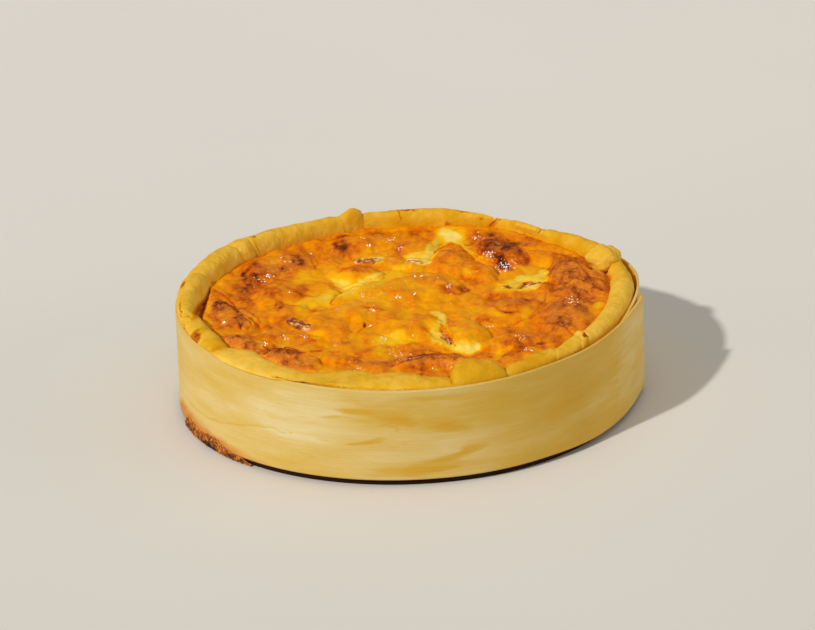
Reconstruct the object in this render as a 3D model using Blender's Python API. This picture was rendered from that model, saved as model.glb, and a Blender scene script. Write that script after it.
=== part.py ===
"""Quiche lorraine, baked and kept in its thin poplar ring.

The pieces are a pastry case with an uneven rolled rim, the egg custard that fills it, six bits
of bacon sunk in the custard's top, the wooden strip bent round the case with its ends
overlapping, and the custard that boiled over and burnt at the strip's foot.

Shapes are worked out in millimetres and written to the meshes in metres. The origin is the
middle of the underside. +X is to the right and -Y is the front. Angles are in degrees,
counter-clockwise from +X.
"""
import math

import bmesh
import bpy
from mathutils import Vector, noise

MM = 0.001

# Clearances that keep touching pieces apart
GAP = 0.3
POCKET_GAP = 0.35
POCKET_RISE = 4.0

# Poplar strip
STRIP_FOOT = 3.0
STRIP_HEIGHT = 39.5
STRIP_TOP = STRIP_FOOT + STRIP_HEIGHT
STRIP_THICK = 1.2
STRIP_RADIUS = 100.0
STRIP_OVAL = (3.0, 52.7)
STRIP_TRIANGLE = (1.5, 45.9)
STRIP_BACK_DENT = (7.4, 50.0, 24.0)
STRIP_BACK_SINK = (1.6, 52.0, 42.0)
STRIP_LEAN = 2.5
STRIP_START = 320.0
STRIP_END = 714.5
STRIP_STEPS = 116
LAP_RAMP = 20.0
FLARE_START = 701.0
FLARE = 1.0

# Pastry case
CELLS = 40
CASE_FOOT_INSET = 0.6
CASE_FOOT_HEIGHT = 0.8
CASE_FLOOR = 4.0
CASE_WALL = 6.5
ROLL_BASE = 40.5
ROLL_SHOULDER = 37.5
OVERHANG_SHOULDER = STRIP_TOP + 0.45
OVERHANG_BASE = 44.2
OVERHANG_FULL = 0.3
ROLL_POINTS = 9
ROLL_UNDERCUT = 1.5
ROLL_INSIDE_LOW = 33.0
WALL_LOW = 7.0
FLOOR_CORNER = 2.5
JOINT_WIDTH = 1.7
JOINT_DEPTH = 1.1
DOUGH_BUMP = 0.35
DOUGH_SCALE = 9.0

# Each length of rolled pastry: the angles where it starts and ends, then along it rows of
# angle, inner radius, gap to the strip, and height of the top
RIM = (
    ("wall_right", 24.0, 46.6, ((24.0, 86.5, 1.2, 46.4), (34.0, 88.0, 1.6, 46.0), (46.6, 87.2, 2.0, 43.9))),
    ("wall_back_right", 46.6, 62.9, (
        (46.6, 87.6, 1.8, 44.2), (55.0, 89.6, 1.5, 45.3), (62.9, 92.6, 1.4, 44.2))),
    ("wall_back", 62.9, 91.0, (
        (62.9, 93.4, 1.0, 44.6), (70.0, 92.4, 1.0, 46.6), (80.0, 89.5, 1.0, 47.8), (91.0, 89.0, 1.0, 48.0))),
    ("wall_back_left", 91.0, 101.0, ((91.0, 89.0, 1.0, 48.2), (101.0, 89.6, 1.0, 48.5))),
    ("lump_back", 101.0, 110.5, (
        (101.0, 89.4, 0.6, 49.0), (105.8, 88.2, 0.2, 51.2), (110.5, 86.8, 0.6, 48.6))),
    ("roll_back_left", 110.5, 141.0, (
        (110.5, 86.0, 0.8, 47.6), (115.0, 85.4, 0.7, 48.1), (125.0, 84.4, 0.4, 49.2),
        (133.0, 85.2, -0.3, 49.8), (141.0, 86.2, -0.8, 50.0))),
    ("roll_wrinkled", 141.0, 157.0, (
        (141.0, 86.0, -0.9, 49.8), (149.0, 85.6, -1.4, 50.2), (157.0, 86.2, -1.4, 49.8))),
    ("roll_left", 157.0, 198.0, (
        (157.0, 87.0, -1.2, 49.2), (165.0, 88.3, -0.8, 48.6), (172.0, 89.6, 0.2, 47.8),
        (180.0, 90.4, 0.8, 47.3), (198.0, 90.6, 1.2, 46.4))),
    ("roll_left_front", 198.0, 217.0, (
        (198.0, 90.0, 1.5, 46.0), (208.0, 90.8, 1.0, 45.7), (217.0, 91.8, 0.8, 44.9))),
    ("lip_front", 217.0, 278.0, (
        (217.0, 87.2, 0.3, 44.3), (225.0, 87.0, 0.3, 44.6), (237.0, 89.3, 0.3, 44.5),
        (250.0, 89.6, 0.3, 44.3), (261.0, 86.2, 0.3, 44.4), (270.0, 89.2, 0.3, 44.4),
        (278.0, 91.4, 0.4, 43.8))),
    ("knob_front", 278.0, 296.0, (
        (278.0, 88.0, 0.4, 45.2), (281.5, 84.4, 0.3, 47.7), (286.0, 83.6, 0.3, 48.2),
        (291.0, 84.2, 0.6, 47.3), (296.0, 88.6, 1.4, 44.6))),
    ("roll_front_right", 296.0, 320.5, (
        (296.0, 89.2, 1.6, 43.6), (300.0, 87.4, 1.5, 44.1), (310.0, 86.8, 1.4, 44.2),
        (320.5, 86.2, 1.3, 44.4))),
    ("roll_right", 320.5, 371.0, (
        (320.5, 85.2, 1.3, 44.7), (330.0, 84.4, 1.3, 44.8), (342.0, 83.9, 1.2, 45.5),
        (355.0, 84.8, 0.5, 46.4), (363.0, 86.0, 0.9, 46.8), (371.0, 88.4, 2.0, 46.2))),
    ("wall_right_end", 371.0, 384.0, ((371.0, 89.6, 1.6, 45.4), (384.0, 86.6, 1.4, 46.2))),
)

# Round lumps of dough pressed on the rim: angle, radius and height of the middle, then half
# sizes across the rim, along it and upwards
LUMPS = (
    (17.8, 88.8, 45.6, 5.8, 6.9, 4.8),
    (15.2, 94.0, 44.6, 3.6, 4.8, 4.0),
)
LUMP_SIDES = 14
LUMP_RINGS = 8

# Custard
CUSTARD_BASE = 40.7
CUSTARD_EDGE_FADE = 5.0
CREASE_SHARPNESS = 6.0
CUSTARD_BUMP = 0.35
CUSTARD_BUMP_SCALE = 7.0

# Puffed lobes of custard: centre x and y, half length, half width, turn, height
LOBES = (
    ("centre", -4.0, 6.0, 31.0, 17.0, 24.0, 4.2),
    ("centre_front", -22.0, -18.0, 22.0, 15.0, 30.0, 3.4),
    ("bacon_side", -36.0, -30.0, 15.0, 9.0, -52.0, 3.2),
    ("peak", 19.0, 38.0, 21.0, 9.5, 92.0, 4.6),
    ("peak_right", 29.0, 29.0, 15.0, 9.0, -58.0, 3.6),
    ("back_orange", -23.0, 29.0, 13.0, 8.0, -8.0, 3.2),
    ("front_gold", 23.0, -43.0, 17.0, 9.5, 100.0, 4.2),
    ("front_middle", 0.0, -34.0, 15.0, 13.0, 10.0, 3.4),
    ("left", -77.0, -14.0, 21.0, 9.0, -60.0, 3.8),
    ("left_front", -69.0, -48.0, 14.0, 8.0, -38.0, 3.8),
    ("front_left", -49.0, -67.0, 17.0, 8.5, -42.0, 4.2),
    ("front_left_small", -30.0, -66.0, 10.0, 7.0, -25.0, 2.6),
    ("front_ridge", 9.0, -75.0, 20.0, 7.5, 2.0, 3.8),
    ("right_brown", 73.0, 14.0, 25.0, 13.5, 98.0, 4.6),
    ("right_front", 65.0, -30.0, 23.0, 13.0, 78.0, 4.2),
    ("right_middle", 43.0, -22.0, 18.0, 13.0, 35.0, 3.4),
    ("front_red", 42.0, -54.0, 16.0, 9.0, 22.0, 3.4),
    ("back_left", -60.0, 43.0, 22.0, 13.0, 48.0, 3.2),
    ("left_middle", -57.0, 8.0, 15.0, 11.0, 60.0, 2.8),
    ("left_inner", -52.0, -12.0, 14.0, 10.0, -30.0, 2.4),
    ("back", -20.0, 68.0, 19.0, 11.0, 12.0, 2.8),
    ("back_middle", 3.0, 60.0, 9.0, 16.0, 10.0, 2.4),
    ("burnt_back", 41.0, 53.0, 20.0, 10.5, 112.0, 4.0),
    ("back_right", 62.0, 41.0, 15.0, 8.0, -42.0, 2.4),
)

# Low places where pale custard shows: centre x and y, half length, half width, turn, depth
VALLEYS = (
    ("back_pale", 20.0, 66.0, 13.0, 9.0, 100.0, 1.6),
    ("back_streak", 32.0, 40.0, 18.0, 3.2, -58.0, 1.8),
    ("left_pale", -27.0, 15.0, 12.0, 6.0, -55.0, 1.5),
    ("right_pale", 49.0, 8.0, 12.0, 8.0, 15.0, 1.6),
    ("front_slit", 14.0, -50.0, 18.0, 3.4, -70.0, 2.6),
    ("left_gold", -40.0, -8.0, 9.0, 6.0, 60.0, 1.0),
    ("left_crack", -69.0, -19.0, 17.0, 2.2, -62.0, 1.8),
    ("front_gold", -10.0, -58.0, 12.0, 7.0, 40.0, 1.0),
    ("lump_bed", 81.5, 26.0, 10.0, 6.0, 107.0, 3.6),
)

# Bits of bacon: centre x and y, length, width, thickness, turn
BACON = (
    (52.0, 7.0, 12.0, 4.6, 4.2, 24.0),
    (41.3, 3.0, 7.0, 4.8, 4.0, -20.0),
    (14.0, -51.5, 13.0, 4.2, 4.6, -74.0),
    (-18.5, 42.0, 14.0, 5.2, 4.2, 14.0),
    (2.5, 38.5, 9.0, 5.0, 4.0, -8.0),
    (-46.0, -28.5, 18.0, 6.4, 4.6, -56.0),
)
BACON_SECTIONS = 6
BACON_SIDES = 8

# Custard burnt at the strip's foot
SPILL_START = 199.0
SPILL_END = 227.0
SPILL_STEPS = 34
SPILL_LIFT = 0.25
SPILL_HEIGHT = 5.8
SPILL_DEPTH = 0.95

# Colour and roughness of each material
MATERIALS = {
    "crust": ((0.62, 0.36, 0.06, 1.0), 0.6),
    "custard": ((0.72, 0.28, 0.02, 1.0), 0.35),
    "veneer": ((0.66, 0.46, 0.16, 1.0), 0.7),
    "bacon": ((0.42, 0.16, 0.07, 1.0), 0.4),
    "burnt": ((0.25, 0.07, 0.01, 1.0), 0.6),
}


def clear_scene():
    for item in list(bpy.data.objects):
        bpy.data.objects.remove(item, do_unlink=True)


def smooth(low, high, value):
    """Rises from 0 at low to 1 at high without a corner."""
    share = min(max((value - low) / (high - low), 0.0), 1.0)
    return share * share * (3.0 - 2.0 * share)


def polar(radius, angle, height):
    turn = math.radians(angle)
    return Vector((radius * math.cos(turn), radius * math.sin(turn), height))


def wave(size, turn, times, angle):
    return size * math.cos(math.radians(times * (angle - turn)))


def swell(size, middle, spread, angle):
    """A smooth flat-topped swell round the middle angle."""
    away = abs((angle - middle + 180.0) % 360.0 - 180.0)
    return size * math.exp(-(away / spread) ** 3)


def strip_outline(angle):
    """Radius of the strip's outer face, half way up, before the lap."""
    oval = wave(*STRIP_OVAL, 2, angle) + wave(*STRIP_TRIANGLE, 3, angle)
    return STRIP_RADIUS + oval - swell(*STRIP_BACK_DENT, angle)


def strip_lean(angle, height):
    """How far the strip leans outwards at a height."""
    share = (height - STRIP_FOOT) / STRIP_HEIGHT - 0.5
    return STRIP_LEAN * share * math.cos(math.radians(3.0 * (angle - 270.0)))


def case_radius(angle, height):
    """Outer radius of the pastry case, just inside the strip."""
    return strip_outline(angle) + strip_lean(angle, height) - STRIP_THICK - GAP


def interpolate(rows, angle, column):
    """Smoothly varying value in a column of rows whose first column is an angle."""
    for before, after in zip(rows, rows[1:]):
        if angle <= after[0]:
            share = smooth(before[0], after[0], angle)
            return before[column] + (after[column] - before[column]) * share
    return rows[-1][column]


def rim_segment(angle):
    """The length of rolled pastry at an angle, and the angle counted from its start."""
    for segment in RIM:
        for lap in (0.0, 360.0):
            if segment[1] <= angle + lap < segment[2]:
                return segment, angle + lap
    raise ValueError("no rolled pastry at %.1f degrees" % angle)


def rim_at(angle):
    """Inner radius, outer radius, top height and overhang, 0 to 1, of the rolled rim."""
    segment, local = rim_segment(angle % 360.0)
    rows = segment[3]
    inner = interpolate(rows, local, 1)
    gap = interpolate(rows, local, 2)
    outer = case_radius(angle, ROLL_BASE) - gap
    top = interpolate(rows, local, 3)
    nearest_end = min(local - segment[1], segment[2] - local)
    dip = JOINT_DEPTH * (1.0 - smooth(0.0, JOINT_WIDTH, nearest_end))
    return inner, outer, top - dip, smooth(0.0, OVERHANG_FULL, -gap)


def roll_point(angle, share):
    """A point on the rolled rim, from its outer foot at share 0 to its inner foot at 1."""
    inner, outer, top, overhang = rim_at(angle)
    turn = math.pi * share
    radius = 0.5 * (inner + outer) + 0.5 * (outer - inner) * math.cos(turn)
    base = ROLL_BASE + (OVERHANG_BASE - ROLL_BASE) * overhang * 0.5 * (1.0 + math.cos(turn))
    height = base + (top - base) * math.sin(turn)
    point = polar(radius, angle, height)
    bump = DOUGH_BUMP * math.sin(turn) * noise.noise(point / DOUGH_SCALE)
    point.z = height + bump
    return point


def shoulder_point(angle):
    """Where the case leaves the strip: below the roll, or above the strip where the roll overhangs it."""
    height = ROLL_SHOULDER + (OVERHANG_SHOULDER - ROLL_SHOULDER) * rim_at(angle)[3]
    return polar(case_radius(angle, height), angle, height)


def edge_angles():
    """Angles at which the edge of a square grid lands when the grid is pressed to a disc."""
    angles = []
    for side in range(4):
        for step in range(CELLS):
            along = -1.0 + 2.0 * step / CELLS
            angles.append(90.0 * side + math.degrees(math.asin(along / math.sqrt(2.0))))
    return angles


def case_wall_inside(angle, shrink):
    """The hollow's side and floor corner, from the rim down, drawn in by shrink."""
    inner = rim_at(angle)[0]
    low = case_radius(angle, WALL_LOW) - CASE_WALL
    return (
        polar(inner + ROLL_UNDERCUT - shrink, angle, ROLL_INSIDE_LOW),
        polar(low - shrink, angle, WALL_LOW),
        polar(low - FLOOR_CORNER - shrink, angle, CASE_FLOOR + shrink),
    )


def case_rings():
    """Rings of the pastry case from the edge of its underside round to the floor's edge."""
    angles = edge_angles()
    rings = [
        [polar(case_radius(a, 0.0) - CASE_FOOT_INSET, a, 0.0) for a in angles],
        [polar(case_radius(a, CASE_FOOT_HEIGHT), a, CASE_FOOT_HEIGHT) for a in angles],
        [shoulder_point(a) for a in angles],
    ]
    for index in range(ROLL_POINTS):
        share = index / (ROLL_POINTS - 1)
        rings.append([roll_point(a, share) for a in angles])
    for level in range(3):
        rings.append([case_wall_inside(a, 0.0)[level] for a in angles])
    return rings


def add_ring(mesh, points):
    return [mesh.verts.new(point * MM) for point in points]


def bridge(mesh, first, second):
    """Triangles between two rings of the same count, split the same way in every piece."""
    count = len(first)
    for index in range(count):
        after = (index + 1) % count
        mesh.faces.new((first[index], first[after], second[after]))
        mesh.faces.new((first[index], second[after], second[index]))


def fan(mesh, ring, centre):
    middle = mesh.verts.new(centre * MM)
    count = len(ring)
    for index in range(count):
        mesh.faces.new((middle, ring[index], ring[(index + 1) % count]))


def finish_object(name, mesh, material, smooth_angle=50.0):
    """Turns a bmesh into an object with outward faces, a material and smooth shading."""
    bmesh.ops.recalc_face_normals(mesh, faces=mesh.faces)
    data = bpy.data.meshes.new(name)
    mesh.to_mesh(data)
    mesh.free()
    data.shade_smooth()
    data.set_sharp_from_angle(angle=math.radians(smooth_angle))
    data.materials.append(material)
    item = bpy.data.objects.new(name, data)
    bpy.context.scene.collection.objects.link(item)
    return item


def make_material(name):
    colour, roughness = MATERIALS[name]
    material = bpy.data.materials.new(name)
    material.use_nodes = True
    shader = material.node_tree.nodes["Principled BSDF"]
    shader.inputs["Base Color"].default_value = colour
    shader.inputs["Roughness"].default_value = roughness
    shader.inputs["Metallic"].default_value = 0.0
    return material


def make_lump(index, material):
    """A lump of dough: a stretched ball turned to follow the rim."""
    angle, radius, height, across, along, up = LUMPS[index]
    mesh = bmesh.new()
    bmesh.ops.create_uvsphere(mesh, u_segments=LUMP_SIDES, v_segments=LUMP_RINGS, radius=1.0)
    bmesh.ops.scale(mesh, vec=Vector((across, along, up)) * MM, verts=mesh.verts)
    lump = finish_object("lump_%d" % (index + 1), mesh, material)
    lump.location = polar(radius, angle, height) * MM
    lump.rotation_euler = (0.0, 0.0, math.radians(angle))
    lump.hide_render = True
    lump.display_type = "WIRE"
    return lump


def make_case(material):
    mesh = bmesh.new()
    rings = [add_ring(mesh, points) for points in case_rings()]
    for lower, upper in zip(rings, rings[1:]):
        bridge(mesh, lower, upper)
    fan(mesh, rings[0], Vector((0.0, 0.0, 0.0)))
    fan(mesh, rings[-1], Vector((0.0, 0.0, CASE_FLOOR)))
    case = finish_object("crust", mesh, material)
    for index in range(len(LUMPS)):
        joined = case.modifiers.new("lump_%d" % (index + 1), "BOOLEAN")
        joined.operation = "UNION"
        joined.object = make_lump(index, material)
    return case


def oval_reach(x, y, oval):
    """Squared distance from an oval's middle, 1 on its edge."""
    _, centre_x, centre_y, long_half, short_half, turn = oval[:6]
    angle = math.radians(turn)
    dx = x - centre_x
    dy = y - centre_y
    along = (dx * math.cos(angle) + dy * math.sin(angle)) / long_half
    across = (dy * math.cos(angle) - dx * math.sin(angle)) / short_half
    return along * along + across * across


def custard_height(x, y):
    """Height of the custard's top: lobes that meet in creases, with low pale places."""
    total = 0.0
    for lobe in LOBES:
        reach = oval_reach(x, y, lobe)
        if reach < 1.0:
            total += (lobe[6] * (1.0 - reach) ** 0.7) ** CREASE_SHARPNESS
    height = CUSTARD_BASE + total ** (1.0 / CREASE_SHARPNESS)
    for valley in VALLEYS:
        reach = oval_reach(x, y, valley)
        if reach < 1.0:
            height -= valley[6] * (1.0 - reach)
    place = Vector((x, y, 0.0)) / CUSTARD_BUMP_SCALE
    return height + CUSTARD_BUMP * noise.noise(place)


def custard_point(u, v):
    """A point of the custard's top from its place on a square grid between -1 and 1."""
    disc_x = u * math.sqrt(1.0 - 0.5 * v * v)
    disc_y = v * math.sqrt(1.0 - 0.5 * u * u)
    share = math.hypot(disc_x, disc_y)
    angle = math.degrees(math.atan2(disc_y, disc_x))
    edge = rim_at(angle)[0] - GAP
    radius = share * edge
    point = polar(radius, angle, 0.0)
    fade = smooth(0.0, CUSTARD_EDGE_FADE, edge - radius)
    point.z = CUSTARD_BASE + (custard_height(point.x, point.y) - CUSTARD_BASE) * fade
    return point


def custard_grid(mesh):
    """The custard's top as a grid of vertices."""
    steps = [-1.0 + 2.0 * index / CELLS for index in range(CELLS + 1)]
    grid = [[mesh.verts.new(custard_point(u, v) * MM) for v in steps] for u in steps]
    for i in range(CELLS):
        for j in range(CELLS):
            mesh.faces.new((grid[i][j], grid[i + 1][j], grid[i + 1][j + 1], grid[i][j + 1]))
    return grid


def grid_edge(grid):
    """The grid's outer vertices in the order of edge_angles."""
    right = [grid[CELLS][j] for j in range(CELLS)]
    back = [grid[CELLS - i][CELLS] for i in range(CELLS)]
    left = [grid[0][CELLS - j] for j in range(CELLS)]
    front = [grid[i][0] for i in range(CELLS)]
    return right + back + left + front


def make_custard(material):
    mesh = bmesh.new()
    grid = custard_grid(mesh)
    rings = [grid_edge(grid)]
    sides = [case_wall_inside(angle, GAP) for angle in edge_angles()]
    for level in range(3):
        rings.append(add_ring(mesh, [side[level] for side in sides]))
    for above, below in zip(rings, rings[1:]):
        bridge(mesh, above, below)
    fan(mesh, rings[-1], Vector((0.0, 0.0, CASE_FLOOR + GAP)))
    return finish_object("custard", mesh, material)


def bacon_rings(length, width, thick, grow, rise, seed):
    """Rounded cross-sections of a bit of bacon along +X, grown by a clearance and open upwards."""
    rings = []
    for index in range(BACON_SECTIONS):
        share = index / (BACON_SECTIONS - 1)
        taper = 0.72 + 0.28 * math.sin(math.pi * share)
        along = (share - 0.5) * (length + 2.0 * grow)
        bend = 0.08 * length * math.cos(math.pi * (share - 0.5)) * math.sin(seed)
        ring = []
        for side in range(BACON_SIDES):
            turn = 2.0 * math.pi * (side + 0.5) / BACON_SIDES
            wobble = 1.0 + 0.12 * noise.noise(Vector((seed * 3.0, share * 3.0, side * 1.3)))
            across = (0.54 * width * taper * wobble + grow) * math.cos(turn)
            up = (0.54 * thick * taper * wobble + grow) * math.sin(turn)
            if up > 0.0:
                up += rise
            ring.append(Vector((along, across + bend, up)))
        rings.append(ring)
    return rings


def bacon_mesh(length, width, thick, grow, rise, seed):
    mesh = bmesh.new()
    rings = [add_ring(mesh, points) for points in bacon_rings(length, width, thick, grow, rise, seed)]
    for lower, upper in zip(rings, rings[1:]):
        bridge(mesh, lower, upper)
    mesh.faces.new(rings[0])
    mesh.faces.new(rings[-1])
    return mesh


def place_bacon(item, x, y, turn):
    item.location = Vector((x, y, custard_height(x, y) + 0.3)) * MM
    item.rotation_euler = (0.0, 0.0, math.radians(turn))


def make_bacon(custard, material):
    """Bits of bacon half sunk in the custard, each in a pocket cut with a clearance."""
    for index, (x, y, length, width, thick, turn) in enumerate(BACON):
        seed = index + 1.0
        shape = bacon_mesh(length, width, thick, 0.0, 0.0, seed)
        bit = finish_object("lardon_%d" % (index + 1), shape, material)
        place_bacon(bit, x, y, turn)
        hollow = bacon_mesh(length, width, thick, POCKET_GAP, POCKET_RISE, seed)
        cutter = finish_object("pocket_%d" % (index + 1), hollow, material)
        place_bacon(cutter, x, y, turn)
        cutter.hide_render = True
        cutter.display_type = "WIRE"
        pocket = custard.modifiers.new("pocket_%d" % (index + 1), "BOOLEAN")
        pocket.operation = "DIFFERENCE"
        pocket.object = cutter


def strip_face(angle, height):
    """Outer radius of the strip at an angle counted along its whole length."""
    lap_end = STRIP_START + 360.0
    lift = (STRIP_THICK + GAP) * smooth(lap_end - LAP_RAMP, lap_end - 1.0, angle)
    flare = FLARE * smooth(FLARE_START, STRIP_END, angle)
    return strip_outline(angle) + strip_lean(angle, height) + lift + flare


def make_strip(material):
    """A strip bent round the case, starting inside its own end on the right."""
    mesh = bmesh.new()
    sections = []
    for index in range(STRIP_STEPS + 1):
        angle = STRIP_START + (STRIP_END - STRIP_START) * index / STRIP_STEPS
        low = strip_face(angle, STRIP_FOOT)
        high = strip_face(angle, STRIP_TOP)
        sink = swell(*STRIP_BACK_SINK, angle)
        corners = (
            polar(low, angle, STRIP_FOOT - sink),
            polar(high, angle, STRIP_TOP - sink),
            polar(high - STRIP_THICK, angle, STRIP_TOP - sink),
            polar(low - STRIP_THICK, angle, STRIP_FOOT - sink),
        )
        sections.append(add_ring(mesh, corners))
    for before, after in zip(sections, sections[1:]):
        bridge(mesh, before, after)
    mesh.faces.new(sections[0])
    mesh.faces.new(sections[-1])
    return finish_object("band", mesh, material)


def spill_section(angle, share):
    """Cross-section of the burnt custard at an angle, share running from end to end."""
    fullness = math.sin(math.pi * min(max(share, 0.02), 0.98)) ** 0.5
    crumb = 1.0 + 0.35 * noise.noise(Vector((angle * 0.9, 0.0, 2.0)))
    height = SPILL_HEIGHT * (0.35 + 0.65 * fullness) * crumb
    depth = SPILL_DEPTH * (0.3 + 0.7 * fullness) * (2.0 - crumb)
    outline = ((0.0, 0.0), (0.8, 0.0), (1.0, 0.22), (0.86, 0.5), (0.55, 0.78), (0.12, 1.0), (0.0, 0.96))
    points = []
    for out, up in outline:
        level = SPILL_LIFT + up * height
        rough = 1.0 + 0.3 * noise.noise(Vector((angle * 1.7, up * 5.0, out * 5.0)))
        face = strip_outline(angle) + strip_lean(angle, max(level, STRIP_FOOT)) + GAP
        points.append(polar(face + out * depth * rough, angle, level))
    return points


def make_spill(material):
    mesh = bmesh.new()
    sections = []
    for index in range(SPILL_STEPS + 1):
        share = index / SPILL_STEPS
        angle = SPILL_START + (SPILL_END - SPILL_START) * share
        sections.append(add_ring(mesh, spill_section(angle, share)))
    for before, after in zip(sections, sections[1:]):
        bridge(mesh, before, after)
    mesh.faces.new(sections[0])
    mesh.faces.new(sections[-1])
    return finish_object("burnt_spill", mesh, material)


def main():
    clear_scene()
    materials = {name: make_material(name) for name in MATERIALS}
    make_case(materials["crust"])
    custard = make_custard(materials["custard"])
    make_bacon(custard, materials["bacon"])
    make_strip(materials["veneer"])
    make_spill(materials["burnt"])


main()
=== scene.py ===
import math

import bpy
import numpy as np
from mathutils import Matrix, Vector


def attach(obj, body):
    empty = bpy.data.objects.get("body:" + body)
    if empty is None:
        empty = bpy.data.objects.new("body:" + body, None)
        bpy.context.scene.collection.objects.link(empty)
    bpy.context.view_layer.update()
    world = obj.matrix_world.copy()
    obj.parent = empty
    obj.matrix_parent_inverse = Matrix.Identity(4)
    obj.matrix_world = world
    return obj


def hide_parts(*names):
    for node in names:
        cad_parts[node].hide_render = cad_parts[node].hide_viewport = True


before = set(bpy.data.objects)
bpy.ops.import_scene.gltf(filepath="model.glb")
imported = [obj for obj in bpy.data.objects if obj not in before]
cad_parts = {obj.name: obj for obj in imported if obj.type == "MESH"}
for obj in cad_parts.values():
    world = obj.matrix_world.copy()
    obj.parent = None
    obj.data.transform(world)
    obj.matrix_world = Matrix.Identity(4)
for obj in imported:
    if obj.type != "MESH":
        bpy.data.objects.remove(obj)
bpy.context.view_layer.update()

MM = 0.001

# Camera, fitted to the ring in the photograph
CAMERA_PLACE = (-0.00135, -0.99514, 0.43503)
CAMERA_PITCH = 22
CAMERA_ROLL = -2
CAMERA_LENS = 110.43
CAMERA_SENSOR = 36
CAMERA_FAR = 50

# Light, with places in metres
KEY_AZIMUTH = 221.5
KEY_ELEVATION = 36.5
KEY_AWAY = 2
KEY_STRENGTH = 2.55
KEY_ANGLE = 2.5
KEY_COLOUR = (1, 0.985, 0.965)
WORLD_STRENGTH = 0.26
FILL_COLOUR = (1, 0.98, 0.95)

# Panels of light: name, power, size and place
PANELS = (
    ("fill", 9, 2.4, (0.3, 0.2, 1.9)),
    ("side", 15, 1.4, (2.04, -0.36, 0.3)),
)
PANEL_TARGET = (0, 0, 0.02)

# Half the side of the floor, in metres
FLOOR_HALF = 6.0

# Clearance between touching pieces, as in the solids
GAP = 0.3

# Poplar strip. Its waves are a size and a turn, and its dent and sink at the back are a size, a
# middle and a half width
STRIP_FOOT = 3
STRIP_HEIGHT = 39.5
STRIP_TOP = STRIP_FOOT + STRIP_HEIGHT
STRIP_THICK = 1.2
STRIP_CHAMFER = 0.3
STRIP_CROWN = 0.08
STRIP_RADIUS = 100
STRIP_OVAL = (3, 52.7)
STRIP_TRIANGLE = (1.5, 45.9)
STRIP_BACK_DENT = (7.4, 50, 24)
STRIP_BACK_SINK = (1.6, 52, 42)
STRIP_LEAN = 2.5
STRIP_START = 320
STRIP_END = 714.5
LAP_RAMP = 20
FLARE_START = 701
FLARE = 1
START_DROP = 2.4
START_DROP_END = 350
STRIP_STEPS = 790
STRIP_ROWS = 80

# Millimetres along the strip for each degree
ARC = 1.75

# Pastry case
CASE_FOOT_INSET = 0.6
CASE_FOOT_HEIGHT = 0.8
CASE_FLOOR = 4
CASE_WALL = 6.5
CASE_HEIGHTS = (0, 0.35, CASE_FOOT_HEIGHT, 2, 3.5, 8, 20, 33)
ROLL_BASE = 40.5
ROLL_SHOULDER = 37.5
OVERHANG_SHOULDER = STRIP_TOP + 0.45
OVERHANG_BASE = 44.2
OVERHANG_FULL = 0.3
ROLL_UNDERCUT = 1.5
ROLL_INSIDE_LOW = 33
WALL_LOW = 7
FLOOR_CORNER = 2.5
RIM_STATIONS = 1500
ROLL_POINTS = 44
HANG_START = 0.3
HANG_FULL = 2.3
HANG_DEPTH = 2.3
END_PINCH = 0.1
LUMP_RINGS = 40
LUMP_SIDES = 72

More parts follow.
